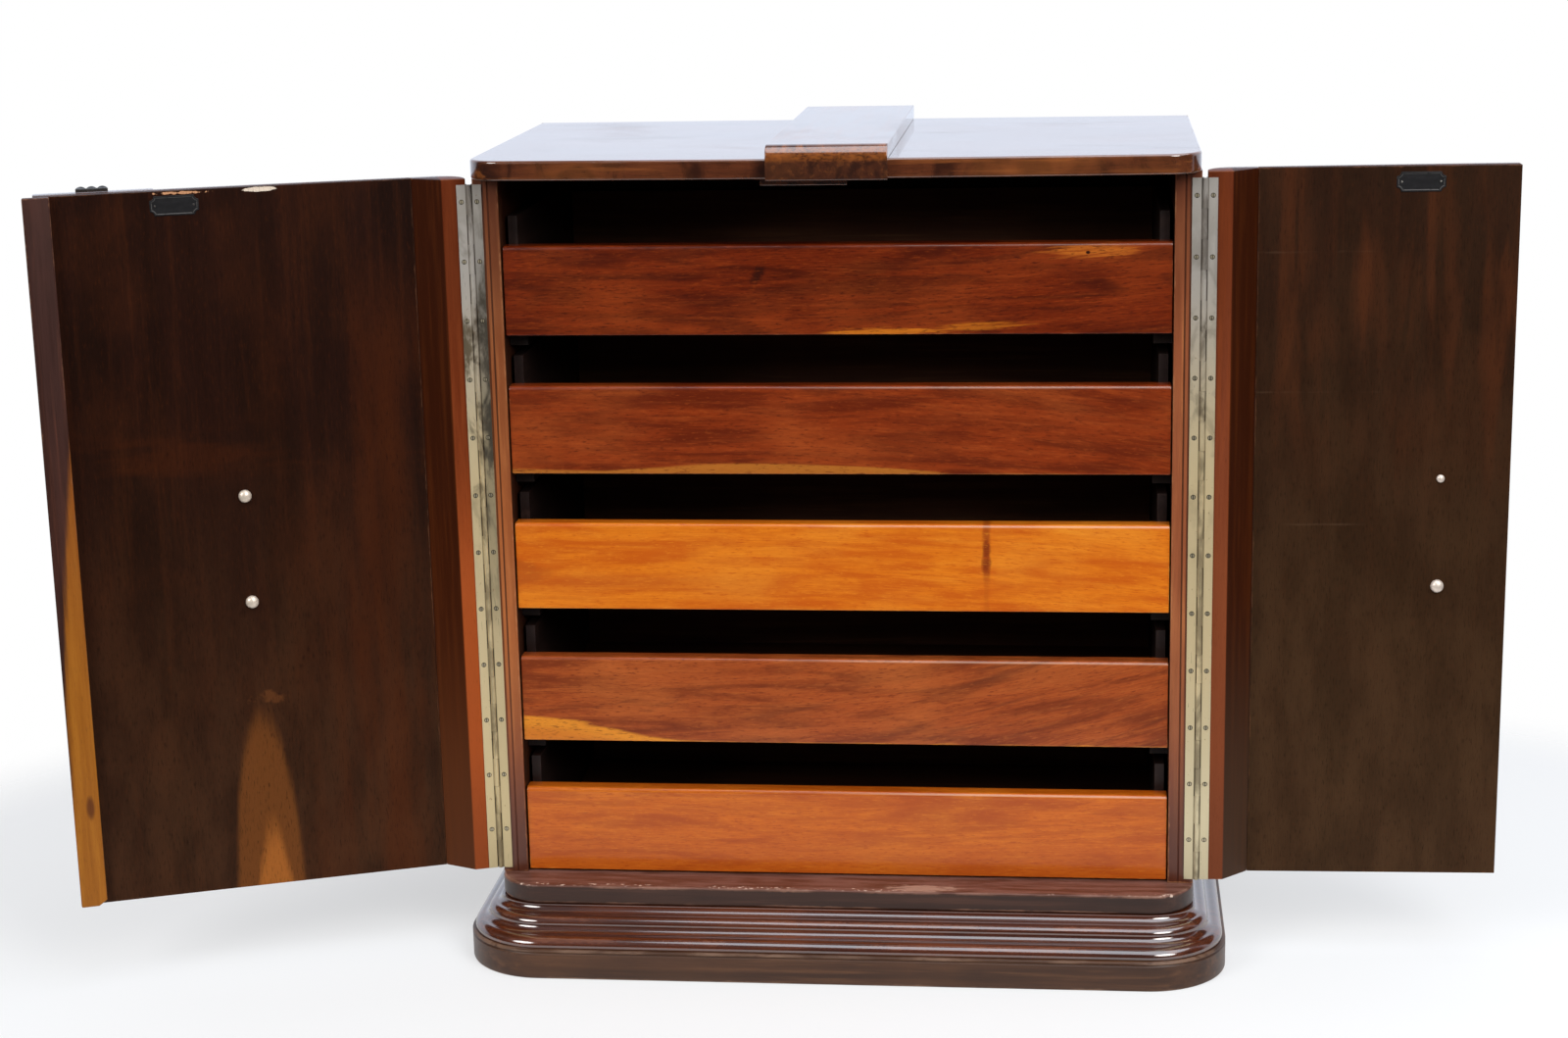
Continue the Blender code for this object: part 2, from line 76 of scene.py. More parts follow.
def softLoop(corners, radii, steps=6, hold=flatHold):
    # Polygon with arcs for corners: an arc swings from one tangent point to the other about the fillet's
    # centre, and one more point on each side of it keeps the flat runs flat.
    p = np.asarray(corners, float)
    r = np.broadcast_to(np.asarray(radii, float), len(p))
    q = np.roll(p, -1, 0)
    if (p[:, 0] * q[:, 1] - q[:, 0] * p[:, 1]).sum() < 0:
        p, r = p[::-1], r[::-1]
    r = r[:, None]
    a, b = unit(np.roll(p, 1, 0) - p), unit(np.roll(p, -1, 0) - p)
    half = np.arccos(np.clip((a * b).sum(1, keepdims=True), -1, 1)) / 2
    reach = r / np.tan(half)
    centre = p + unit(a + b) * r / np.sin(half)
    first, last = (p + a * reach - centre)[:, None], (p + b * reach - centre)[:, None]
    t = np.linspace(0, 1, steps + 1)[None, :, None]
    swing = (math.pi - 2 * half)[:, None]
    arc = centre[:, None] + (np.sin((1 - t) * swing) * first + np.sin(t * swing) * last) / np.sin(swing)
    before, after = (p + a * (reach + hold))[:, None], (p + b * (reach + hold))[:, None]
    return np.concatenate((before, arc, after), 1).reshape(-1, 2)


def denser(loop, longest):
    # more points on a loop's long runs, evenly spaced, so that a bend stays smooth
    step = np.roll(loop, -1, 0) - loop
    count = np.maximum(1, np.ceil(np.linalg.norm(step, axis=1) / longest)).astype(int)
    share = (np.arange(count.sum()) - np.repeat(np.cumsum(count) - count, count)) / np.repeat(count, count)
    return np.repeat(loop, count, 0) + share[:, None] * np.repeat(step, count, 0)


def easedEnds(low, high, ease, steps=3, hold=flatHold):
    # (inset, place) of a run whose two ends are rounded over by a quarter circle
    sine, cosine = quarter(steps)
    start = np.vstack((rows(ease * (1 - sine), low + ease * (1 - cosine)), (0, low + ease + hold)))
    return np.vstack((start, start[::-1] * (1, -1) + (0, low + high)))


def carried(loop, levels, flush=None):
    # Loop carried through levels of (inset, place): a point moves in along its mitred normal by the inset.
    # Points at the flush line keep to it.
    before, after = unit(loop - np.roll(loop, 1, 0)), unit(np.roll(loop, -1, 0) - loop)
    n1, n2 = (rows(-d[:, 1], d[:, 0]) for d in (before, after))
    mitre = (n1 + n2) / (1 + (n1 * n2).sum(1, keepdims=True))
    levels = np.asarray(levels, float)
    flat = loop + levels[:, 0, None, None] * mitre
    if flush is not None:
        flat[..., 1] = np.where(loop[:, 1] > flush - 0.002, loop[:, 1], flat[..., 1])
    return rows(flat[..., 0], flat[..., 1], levels[:, 1, None])


def ringQuads(levels, across):
    # quads between each two of a stack of rings that have the same number of points
    i, j = np.mgrid[0:levels - 1, 0:across]
    i, k = i * across, (j + 1) % across
    return rows(i + j, i + k, i + across + k, i + across + j).reshape(-1, 4)


def skinFaces(grid):
    # the quads of a grid's rings, then one flat face on each end
    levels, across = grid.shape[:2]
    end = np.arange(across)
    return [ringQuads(levels, across), np.stack((end[::-1], end + (levels - 1) * across))]


def putPiece(name, points, groups, finish, body, slot, replaced=(), marks=None, flats=0, crease=32):
    # Mesh at the origin from points and groups of faces, with its marks as vector attributes.
    # The last faces are shaded flat.
    faces = [face for group in groups for face in group.tolist()]
    mesh = bpy.data.meshes.new(name)
    mesh.from_pydata(points.tolist(), [], faces)
    for key, values in (marks or {}).items():
        layer = mesh.attributes.new(key, "FLOAT_VECTOR", "POINT")
        layer.data.foreach_set("vector", np.ascontiguousarray(values, np.float32).ravel())
    shell = bmesh.new()
    shell.from_mesh(mesh)
    bmesh.ops.recalc_face_normals(shell, faces=shell.faces[:])
    shell.to_mesh(mesh)
    shell.free()
    smooth = np.ones(len(faces), bool)
    smooth[len(faces) - flats:] = False
    mesh.polygons.foreach_set("use_smooth", smooth)
    mesh.set_sharp_from_angle(angle=math.radians(crease))
    mesh.materials.append(finish)
    piece = bpy.data.objects.new(name, mesh)
    bpy.context.scene.collection.objects.link(piece)
    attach(piece, body)
    if replaced:
        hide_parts(*replaced)


def makeBoard(name, grid, finish, replaced=(), body="case", slot="walnut", order=(0, 1, 2), place=None,
              rim=None, crease=32):
    # Skin of a straight board, kept in its own metres (along, across and through the grain, and how far each
    # face is from the middle), then stood and bent by place().
    flat = grid.reshape(-1, 3)
    low, high = flat.min(0), flat.max(0)
    grain = (flat - (low + high) / 2)[:, order]
    half = np.broadcast_to(((high - low) / 2)[list(order)], grain.shape)
    straight = grain
    if rim is not None:                     # distance from the nearest edge is given level by level
        depth = np.repeat(rim, grid.shape[1])
        straight = half - rows(1, depth, depth)
    marks = {"grain": grain, "straight": straight, "half": half}
    placed = place(flat) if place else flat
    putPiece(name, placed, skinFaces(grid), finish, body, slot, replaced, marks, 2, crease)


def alongX(q):
    # loop across y and z, carried to the right
    return q[:, (2, 0, 1)]


def bowOut(u):
    # how far the bowed door front stands before the pins, u across the door from its pin
    return crown - bow * (u / pinX - 1) ** 2


def onDoor(side):
    # closed door point (across, outwards, up) from its pin, turned open about the pin
    angle = side * math.radians(openBy[side])
    c, s = math.cos(angle), math.sin(angle)

    def place(q):
        a, b = -side * q[:, 0], -q[:, 1]
        return rows(side * pinX + a * c - b * s, pinY + a * s + b * c, q[:, 2])
    return place


def onInnerFace(side, u, z):
    # point (across, up, out of the wood) about a place on a door's inner face
    door = onDoor(side)
    return lambda q: door(rows(u + q[:, 0], panelIn - q[:, 2], z + q[:, 1]))


def onCase(side):
    # point (towards the middle, back, up) from a pin, on the case
    return lambda q: rows(side * (pinX - q[:, 0]), pinY + q[:, 1], q[:, 2])


def mathNode(operation, turned=False):
    # method that adds a Math node; turned gives the reflected form
    def method(self, other=0.0):
        first, second = (other, self) if turned else (self, other)
        return self.node("ShaderNodeMath", {"operation": operation}, {0: first, 1: second})
    return method


class Wire:
    # One shader socket. Arithmetic on it adds Math nodes, and node() adds any other node.
    def __init__(self, tree, socket=None):
        self.tree, self.socket = tree, socket

    __add__ = __radd__ = mathNode("ADD")
    __mul__ = __rmul__ = mathNode("MULTIPLY")
    __sub__, __rsub__ = mathNode("SUBTRACT"), mathNode("SUBTRACT", True)
    __truediv__, __pow__ = mathNode("DIVIDE"), mathNode("POWER")
    least, most, size = mathNode("MINIMUM"), mathNode("MAXIMUM"), mathNode("ABSOLUTE")

    def feed(self, node, sockets):
        for key, value in sockets.items():
            if isinstance(value, Wire):
                self.tree.links.new(value.socket, node.inputs[key])
            else:
                node.inputs[key].default_value = value
        return node

    def node(self, kind, settings=None, sockets=None, out=0):
        made = self.tree.nodes.new(kind)
        for key, value in (settings or {}).items():
            setattr(made, key, value)
        return Wire(self.tree, self.feed(made, sockets or {}).outputs[out])

    def rise(self, low, high):
        # 0 at low, 1 at high, smooth between
        smooth = {"interpolation_type": "SMOOTHSTEP"}
        return self.node("ShaderNodeMapRange", smooth, {0: self, 1: low, 2: high})

    def mix(self, first, second):
        # this mask moves the first colour towards the second; three numbers are a colour as seen, 0 to 255
        first, second = (tone(c) if isinstance(c, tuple) and len(c) == 3 else c for c in (first, second))
        return self.node("ShaderNodeMix", {"data_type": "RGBA"}, {0: self, 6: first, 7: second}, 2)

    def parts(self):
        split = self.node("ShaderNodeSeparateXYZ", None, {0: self}).socket.node
        return [Wire(self.tree, out) for out in split.outputs]

    def vector(self, operation, first, second=(0, 0, 0)):
        return self.node("ShaderNodeVectorMath", {"operation": operation}, {0: first, 1: second})

    def kept(self, mark):
        # vector that a mesh keeps at its points
        return self.node("ShaderNodeAttribute", {"attribute_name": mark}, out=1)

    def metres(self):
        # place in the frame
        return self.node("ShaderNodeTexCoord", out=3)

    def noise(self, lengths, seed, detail=3.0, rough=0.55, warp=0.0):
        # cloudy value about 0.5 on this point, from lengths in metres, of which the last may stand for two
        scale = tuple(1 / n for n in (*lengths, lengths[-1])[:3])
        placed = self.node("ShaderNodeVectorMath", {"operation": "MULTIPLY_ADD"},
                           {0: self, 1: scale, 2: (seed * 1.7, seed * 0.9, seed * 2.3)})
        return self.node("ShaderNodeTexNoise", None, {"Vector": placed, "Scale": 1.0, "Detail": detail,
                                                      "Roughness": rough, "Distortion": warp})


class Surface:
    # A point along (x), across (y) and through (z) a board, or in the frame, with its colour so far
    def __init__(self, point, colour):
        self.point, self.colour = point, colour
        self.x, self.y, self.z = point.parts()

    def dab(self, mask, colour):
        # the mask moves the colour so far towards this one
        self.colour = mask.mix(self.colour, colour)


def tone(colour):
    # a colour as seen, 0 to 255, as a linear one
    seen = np.array(colour) / 255
    return (*np.where(seen > 0.04045, ((seen + 0.055) / 1.055) ** 2.4, seen / 12.92).tolist(), 1.0)


def inside(distance, soft):
    # mask that is 1 where the distance is below 0, fading over soft
    return distance.rise(soft, -soft)


def oval(x, y, middle, reach, edge, soft, ragged=0.0):
    # mask inside an oval: the squares of its two shares of reach and a ragged part come to less than edge
    across, along = (x - middle[0]) / reach[0], (y - middle[1]) / reach[1]
    return inside(across ** 2.0 + along ** 2.0 + ragged - edge, soft)


def newFinish(name, steady):
    # material whose unchanging values sit on the shader itself
    material = bpy.data.materials.new(name)
    material.use_nodes = True
    shader = material.node_tree.nodes["Principled BSDF"]
    wire = Wire(material.node_tree)
    wire.feed(shader, steady)
    return material, wire, shader


def edgeDistance(w):
    # metres to the nearest edge: of the distances to the board's three pairs of faces, the second smallest
    a, b, c = w.vector("SUBTRACT", w.kept("half"), w.vector("ABSOLUTE", w.kept("straight"))).parts()
    return a.least(b).most(a.most(b).least(c))


# What a wood has unless its look says otherwise, then the lengths along and across the grain of its marks
plainWood = dict(
    shine=0.4, coat=0.0, coatRough=0.12, coatIor=1.5, sweep=0, bandWide=0.030, bandLong=0.45, warp=0.5,
    bandShare=0.6, streakWide=0.0065, streakLong=0.16, streakShare=0.5, fibre=0.25, cloud=0.25, pores=0.3,
    fleck=0, wear=0, crest=0, polish=None, smudge=0, relief=0.10, reliefDeep=0.0004)
grainSizes = dict(
    fibre=(0.030, 0.0011), pore=(0.009, 0.00055), cloud=(0.11, 0.07), fleck=(0.0075, 0.0013),
    chip=(0.010, 0.005), spread=(0.07, 0.03), smudge=(0.13, 0.09))


def woodFinish(name, look, extra=None, turn=None):
    # Heart tone moved towards the dark and pale tones by broad bands and streaks along the grain, then by
    # fibres and pores, and worn to the bare tone near edges. Boards give their own metres; a turned one reads
    # the frame's.
    look = {**plainWood, **look}
    dark, pale, seed = look["dark"], look["pale"], look["seed"]
    material, w, shader = newFinish(name, {"Specular IOR Level": look["shine"], "Coat Weight": look["coat"],
                                           "Coat Roughness": look["coatRough"], "Coat IOR": look["coatIor"]})
    if turn is None:
        point = w.kept("grain")
    else:
        point = w.node("ShaderNodeMapping", None, {"Vector": w.metres(), "Rotation": turn})
    b = Surface(point, look["heart"])
    if look["sweep"]:                       # the grain climbs towards the right end
        climb = (b.x + 0.10).most(0.0) ** 2.0 * look["sweep"]
        b.point = point = w.node("ShaderNodeCombineXYZ", None, {0: b.x, 1: b.y - climb, 2: b.z})

    def grain(kind, step, *more):
        return point.noise(grainSizes[kind], seed + step, *more)
    band = point.noise((look["bandLong"], look["bandWide"]), seed, 3, 0.5, look["warp"])
    b.streak = point.noise((look["streakLong"], look["streakWide"]), seed + 5, 5, 0.6, 0.25)
    b.fibre, pore, cloud = grain("fibre", 9, 3, 0.6), grain("pore", 13, 2, 0.5), grain("cloud", 17, 3, 0.5)
    b.dab(band.rise(0.38, 0.66) * look["bandShare"], dark)
    b.dab(b.streak.rise(0.50, 0.68) * look["streakShare"], pale)
    b.dab(b.streak.rise(0.48, 0.31) * look["streakShare"] * 0.8, dark)
    b.dab(b.fibre.rise(0.40, 0.72) * look["fibre"], dark)
    b.dab(cloud.rise(0.45, 0.75) * look["cloud"], pale)
    b.rough = look["rough"] + (b.streak - 0.5) * 0.10 + (cloud - 0.5) * 0.16
    if extra:
        extra(b)
    b.dab(pore.rise(0.60, 0.70) * look["pores"], dark)
    if look["fleck"]:
        fleck = grain("fleck", 15, 2, 0.6)
        b.dab(fleck.rise(0.54, 0.74) * look["fleck"], dark)
        b.dab(fleck.rise(0.44, 0.26) * look["fleck"] * 0.4, pale)
    if look["wear"]:
        reach = look["reach"]
        rub = (edgeDistance(w) + (grain("chip", 21, 4, 0.65) - 0.5) * reach * 4.0).rise(reach, 0.0)
        rub = rub * grain("spread", 25, 3, 0.6).rise(0.40, 0.62)
        b.dab(rub * look["wear"], look["bare"])
        b.rough += rub * 0.12
    if look["crest"]:                       # painted highlight along the rounded top edge, most of all on the right
        crest, coat = look["crest"], look["coat"]
        line = inside((b.y - crest).size() - 0.0006, 0.0006) * (b.x + cloud * 0.2).rise(0.0, 0.22)
        b.dab(line * look["glow"], (240, 204, 174))
        w.feed(shader, {"Coat Weight": coat + b.y.rise(crest - 0.003, crest) * (1.0 - coat)})
    if look["polish"]:                      # polished outside, plain within
        w.feed(shader, {"Coat Weight": b.z.rise(*look["polish"]) * 0.8})
    if look["smudge"]:
        smudge = grain("smudge", 29, 3, 0.5, 0.3).rise(0.50, 0.80)
        w.feed(shader, {"Coat Weight": 1.0 - smudge * look["smudge"]})
    height = b.fibre * 0.4 - pore.rise(0.58, 0.70) * 0.7 + b.streak * 0.3
    bump = {"Height": height, "Strength": look["relief"], "Distance": look["reliefDeep"]}
    relief = w.node("ShaderNodeBump", None, bump)
    w.feed(shader, {"Base Color": b.colour, "Roughness": b.rough, "Normal": relief})
    return material


def outsideWood(b, dark=(42, 19, 10), light=(88, 45, 23)):
    # the polished outside, as on the doors unless other tones are given
    return (b.streak.rise(0.34, 0.64) * 0.75 + b.fibre * 0.3).least(1.0).mix(dark, light)


# The base: a thick board, a reeded moulding on it, and the case's bottom board
baseSizes = dict(
    wide=0.667, front=-0.1905, radius=0.070, high=0.0265, bead=0.0022, ease=0.0012, reedLow=0.0268,
    foot=0.0016, reedSet=0.004, sideShare=0.7, groove=((0.40, 0.60), (0.48, 0.42), (0.40, 0.22)),
    steps=((0.0100, 0.0072), (0.0086, 0.0062), (0.0084, 0.0060), (0.0080, 0.0061)), bottomWide=0.611,
    bottomFront=-0.1505, bottomRadius=0.0387, bottomLow=0.0542, bottomHigh=0.0713, edge=0.002)
baseLook = dict(
    seed=3, heart=(70, 43, 26), dark=(44, 25, 15), pale=(106, 70, 44), rough=0.42, coat=0.12,
    coatRough=0.3, bandWide=0.012, bare=(140, 110, 90), wear=0.5, reach=0.0008, shine=0.3)
reedLook = dict(
    seed=6, heart=(78, 33, 13), dark=(38, 14, 6), pale=(126, 62, 25), rough=0.30, coat=1.0, coatRough=0.10,
    coatIor=2.1, bandWide=0.016, bandLong=0.12, streakWide=0.004, streakShare=0.3, bare=(150, 92, 60),
    wear=0.3, reach=0.0010, shine=0.15, relief=0.05)
bottomLook = dict(
    seed=8, heart=(56, 34, 25), dark=(36, 21, 15), pale=(82, 52, 39), rough=0.40, coat=0.15,
    coatRough=0.25, bandWide=0.010, bare=(150, 108, 88), wear=0.5, reach=0.0006, shine=0.3)


def bottomScuffs(b):
    # dusty above, with a scraped patch on the front edge, right of the middle, and small pale flecks along it
    noise, upper = b.point.noise, b.z.rise(0.0066, 0.0080)
    speck = noise((0.010, 0.0025), 33, 4, 0.7)
    scrape = oval(b.x, b.y, (0.072, -0.1615), (0.036, 0.0085), 0.7, 0.35, (speck - 0.5) * 3.4)
    dust = noise((0.045, 0.006), 38, 4, 0.6, 0.4).rise(0.36, 0.66)
    b.dab(upper * 0.75, dust.mix((96, 56, 43), (134, 92, 80)))
    b.dab(scrape * upper * 0.75, (178, 140, 120))
    fleck = noise((0.004, 0.003), 36, 2, 0.6).rise(0.58, 0.62)
    fleck = fleck * inside((b.y + 0.1668).size() - 0.0026, 0.001) * b.z.rise(0.0045, 0.0070)
    b.dab(fleck * noise((0.05, 0.02), 37, 2, 0.5).rise(0.40, 0.54) * 0.9, (222, 196, 178))
    b.rough += scrape * 0.15


def roundedFront(wide, front, radius):
    # board outline, square at the back, with a quarter circle at each front corner
    corners = ((-wide / 2, backY), (-wide / 2, front), (wide / 2, front), (wide / 2, backY))
    return softLoop(corners, (0.0006, radius, radius, 0.0006), 30, 0.0003)


def drawnIn(outline, levels, s):
    # base outline drawn in about its corner centres through (inset, height) levels, by less at the sides
    inset, height = levels[:, 0, None], levels[:, 1, None]
    x, y = outline.T
    middle, front = s["wide"] / 2 - s["radius"], s["front"] + s["radius"]
    out = np.maximum(np.abs(x) - middle, 0) * (1 - inset * s["sideShare"] / s["radius"])
    ahead = np.maximum(front - y, 0) * (1 - inset / s["radius"])
    across = np.sign(x) * (np.minimum(np.abs(x), middle) + out)
    return rows(across, np.maximum(y, front) - ahead, height)


def edgeLevels(low, high, edge, over=0.008, side=0.005):
    # (inset, height, distance from the edge) of a board rounded over at its top and bottom edges
    sine, cosine = quarter(5)
    arc = rows(edge * (1 - sine), edge * (1 - cosine), 0)
    start = np.vstack(((edge + over, 0, over), (edge + flatHold, 0, flatHold), arc,
                       (0, edge + flatHold, flatHold), (0, edge + side, side)))
    return np.vstack((start + (0, low, 0), start[::-1] * (1, -1, 1) + (0, high, 0)))


def makeBase(s, over=0.008, far=0.004):
    outline = roundedFront(s["wide"], s["front"], s["radius"])
    ease, bead, high = s["ease"], s["bead"], s["high"]
    quirk = high - bead
    sine, cosine = quarter(10)
    foot = ((ease + over, 0, over), (ease, 0, 0), (ease * 0.3, ease * 0.3, 0), (0, ease, 0),
            (0, ease + 0.005, 0.005), (0, quirk - bead - far, far), (0, quirk - bead, 0.0012))
    groove = [(bead * deep, quirk - bead * below, 0.006) for deep, below in s["groove"]]
    roundOver = rows(bead * (1 - cosine), quirk + bead * sine, 0)
    levels = np.vstack((foot, groove, roundOver, (bead + over, high, over)))
    grid, finish = carried(outline, levels, backY), woodFinish("baseWalnut", baseLook)
    makeBoard("baseBoard", grid, finish, ["base_board"], rim=levels[:, 2], crease=40)

    # a round and a cove, and again: quarter ovals that step in as they rise, out of the wood and then into it
    sine, cosine = (part[1:] for part in quarter(16))
    runs = [np.array(((s["reedSet"], s["reedLow"], far), (s["reedSet"], s["reedLow"] + s["foot"], 0.003)))]
    for k, (deep, rise) in enumerate(s["steps"]):
        inwards, upwards = (sine, 1 - cosine) if k % 2 else (1 - cosine, sine)
        crest = far if k % 2 else far * np.abs(2 * sine * cosine - 1)
        runs.append(runs[-1][-1] * (1, 1, 0) + rows(deep * inwards, rise * upwards, crest))
    levels = np.vstack((*runs, runs[-1][-1] + (0.012, 0, 0.01)))
    grid, finish = drawnIn(outline, levels, s), woodFinish("reedWalnut", reedLook)
    makeBoard("reededBoard", grid, finish, ["reeded_board"], rim=levels[:, 2], crease=50)

    outline = roundedFront(s["bottomWide"], s["bottomFront"], s["bottomRadius"])
    levels = edgeLevels(s["bottomLow"], s["bottomHigh"], s["edge"])
    finish = woodFinish("bottomWalnut", bottomLook, bottomScuffs)
    makeBoard("bottomBoard", carried(outline, levels, backY), finish, ["bottom_board"], rim=levels[:, 2])


makeBase(baseSizes)
print("base made")

# The top: a bowed board, the strip over it and the stop block under it
topSizes = dict(
    wide=0.608, crown=0.037, radius=0.027, low=0.6912, high=0.7077, edge=0.002, longest=0.012,
    stripLow=0.7080, stripHigh=0.7200, stripIn=0.0373, stripOut=0.0493, stripEase=0.0006,
    stripRadii=(0.0006, 0.0002, 0.0008, 0.0014, 0.011, 0.0006), stopX=-0.0215, stopWide=0.073,
    stopFront=-0.1408, stopDeep=0.030, stopHigh=0.0065, stopRadius=0.0016, stopEase=0.0008)
topLook = dict(
    seed=11, heart=(92, 46, 24), dark=(36, 15, 8), pale=(158, 90, 42), rough=0.16, coat=1.0,
    coatRough=0.06, coatIor=1.75, bandWide=0.040, bandLong=0.030, warp=1.1, bandShare=0.85, cloud=0.45,
    bare=(120, 70, 40), wear=0.3, reach=0.0008, shine=0.5, smudge=0.34)


def paintedNoseHighlight(b):
    # speckled orange painted highlight across the strip's nose, dark brown below it
    ahead, z = b.x.rise(-0.160, -0.172), b.z
    speckle = b.point.noise((0.006, 0.004, 0.0016), 19, 4, 0.7).rise(0.32, 0.62)
    b.dab(ahead * z.rise(0.003, -0.001) * 0.6, (50, 27, 18))
    b.dab(ahead * z.rise(0.000, 0.004) * z.rise(0.0130, 0.0105) * speckle * 0.7, (146, 82, 32))


def topFigure(b):
    # straight quiet grain over the upper face; the edge keeps its mottling
    figure = b.point.noise((0.28, 0.022), 23, 4, 0.55, 0.9).rise(0.34, 0.68)
    quiet = (figure * 0.8 + b.streak.rise(0.35, 0.7) * 0.3).least(1.0).mix((62, 29, 16), (116, 61, 32))
    b.dab(b.z.rise(0.0066, 0.0080) * 0.85, quiet)


def makeTop(s):
    half, radius, low = s["wide"] / 2, s["radius"], s["low"]
    front = pinY - s["crown"] + bow * (half / pinX) ** 2
    outline = denser(roundedFront(s["wide"], front, radius), s["longest"])
    share = np.clip((front + radius - outline[:, 1]) / radius, 0, 1)
    outline[:, 1] -= bow * (half ** 2 - outline[:, 0] ** 2) / pinX ** 2 * share
    levels = edgeLevels(low, s["high"], s["edge"])
    finish = woodFinish("topWalnut", topLook, topFigure)
    makeBoard("topBoard", carried(outline, levels, backY), finish, ["top_board"], rim=levels[:, 2])

    inner, outer = pinY - s["stripIn"], pinY - s["stripOut"]
    corners = ((backY, s["stripLow"]), (inner, s["stripLow"]), (inner, low), (outer, low),
               (outer, s["stripHigh"]), (backY, s["stripHigh"]))
    grid = carried(softLoop(corners, s["stripRadii"], 14, 0.0002),
                   easedEnds(-stripWide / 2, stripWide / 2, s["stripEase"]))
    strip = woodFinish("stripWalnut", dict(topLook, seed=14, bandWide=0.012, bandLong=0.05), paintedNoseHighlight)
    makeBoard("topStrip", grid, strip, ["top_strip"], order=(0, 2, 1), place=alongX)

    left, right = s["stopX"] - s["stopWide"] / 2, s["stopX"] + s["stopWide"] / 2
    loop = softLoop(rectangle(left, right, s["stopFront"], s["stopFront"] + s["stopDeep"]), s["stopRadius"])
    high = low - seat
    grid = carried(loop, easedEnds(high - s["stopHigh"], high, s["stopEase"]))
    makeBoard("stopBlock", grid, finish, ["stop_block"])


makeTop(topSizes)
print("top made")

# The case sides, with a fine groove down each front edge
sideSizes = dict(
    near=0.283, out=0.305, front=-0.11725, back=0.1875, rebateX=0.010, rebateY=0.1812, groove=0.009,
    grooveWide=0.0008, low=0.0716, high=0.6909,
    radii=(0.0010, 0.0001, 0.0002, 0.0001, 0.0010, 0.0006, 0.0003, 0.0003, 0.0006))
sideLook = dict(
    dark=(110, 54, 26), pale=(192, 120, 68), rough=0.36, coat=0.3, coatRough=0.2, bare=(182, 124, 80),
    wear=0.5, reach=0.0012, bandWide=0.02)
sideTones = {-1: dict(seed=16, heart=(172, 97, 50)), 1: dict(seed=18, heart=(146, 80, 48))}
sideTops = {-1: (0.05, 0.78), 1: (0.15, 0.66)}    # where a front edge begins to darken upwards, and its share


def sideShade(start, share):
    # The case is darker outside and within than on the front edges that the doors cover, and those darken at
    # their ends.
    def shade(b):
        edge = (b.y + 0.1524).rise(0.004, 0.0005)
        # dark lines 2 mm either side of the middle of the front edge, one of them in the groove: painted
        # groove shade
        line = (b.z.size() - 0.0020).size().rise(0.0010, 0.0005)
        b.dab(line * 0.75, (48, 24, 14))
        b.dab(b.x.rise(-0.08, -0.24) * 0.55, (110, 52, 30))
        b.dab((b.x.rise(start, 0.33) * share).most(b.x.rise(-0.16, -0.29) * 0.85), (66, 28, 15))
        b.colour = edge.mix(outsideWood(b, (38, 18, 10), (74, 39, 22)), b.colour)
    return shade


def makeSides(s):
    near, out, front, back, r = s["near"], s["out"], s["front"], s["back"], s["grooveWide"]
    groove, rebate = near + s["groove"], near + s["rebateX"]
    corners = np.array(((near, front), (groove - r, front), (groove, front + r), (groove + r, front),
                        (out, front), (out, back), (rebate, back), (rebate, s["rebateY"]),
                        (near, s["rebateY"])))
    for name, side in bothSides:
        finish = woodFinish(name + "SideWalnut", {**sideLook, **sideTones[side]}, sideShade(*sideTops[side]))
        loop = softLoop(corners * (side, 1), s["radii"], 5, 0.0001)
        grid = carried(loop, ((0, s["low"]), (0, s["high"])))
        makeBoard(name + "Side", grid, finish, [name + "_side"], order=(2, 1, 0))


makeSides(sideSizes)
print("case made")

# The doors: posts with a bevel behind, bowed panels, and on the left one the band, triple reed and lip
doorSizes = dict(
    postIn=0.0024, woodGap=0.00125, stripU=0.0227, bevelU=0.0452, bandThick=0.0097, bandEase=0.0006,
    postRadii=(0.0008, 0.0008, 0.0003, 0.0003, 0.025), panelRadii=(0.0003, 0.0008, 0.0010, 0.0003),
    bandRadii=(0.0007, 0.0007, 0.003, 0.003), wide={-1: 0.3554, 1: 0.2586}, reedWide=0.0264,
    reedRoot=0.004, reedDip=30, reedRise=0.0035, reedEase=0.0006, reedDome=0.45, lipWide=0.022,
    lipThick=0.007, lipOver=0.0088, lipCutU=0.007, lipCutZ=0.005, lipRadius=0.0014, lipEase=0.001)
panelLook = dict(
    heart=(36, 16, 9), dark=(20, 8, 4), pale=(78, 36, 13), rough=0.46, shine=0.06, bandWide=0.045,
    bandLong=0.5, streakWide=0.010, streakLong=0.20, streakShare=0.18, polish=(0.002, 0.005),
    bare=(120, 78, 52), wear=0.4, reach=0.0010, cloud=0.25, fleck=0.5, fibre=0.35)
postLook = dict(
    seed=26, dark=(76, 28, 10), pale=(140, 68, 32), rough=0.40, shine=0.08, bare=(160, 100, 64), wear=0.4,
    reach=0.0010, bandWide=0.02, bandLong=0.5, polish=(0.0075, 0.0105))
postTones = {-1: dict(heart=(112, 48, 20), glow=(172, 82, 35), foot=(86, 46, 21)),
             1: dict(heart=(120, 60, 36), glow=(126, 66, 38), foot=(64, 48, 34))}
lipLook = dict(
    seed=31, heart=(62, 38, 33), dark=(44, 25, 20), pale=(94, 55, 42), rough=0.40, shine=0.15,
    bare=(150, 104, 74), wear=0.35, reach=0.0010, bandWide=0.010)
bandLook = dict(
    seed=35, heart=(78, 38, 21), dark=(42, 19, 11), pale=(122, 66, 36), rough=0.20, coat=1.0,
    coatRough=0.07, bare=(140, 88, 56), wear=0.35, reach=0.0012, shine=0.5)
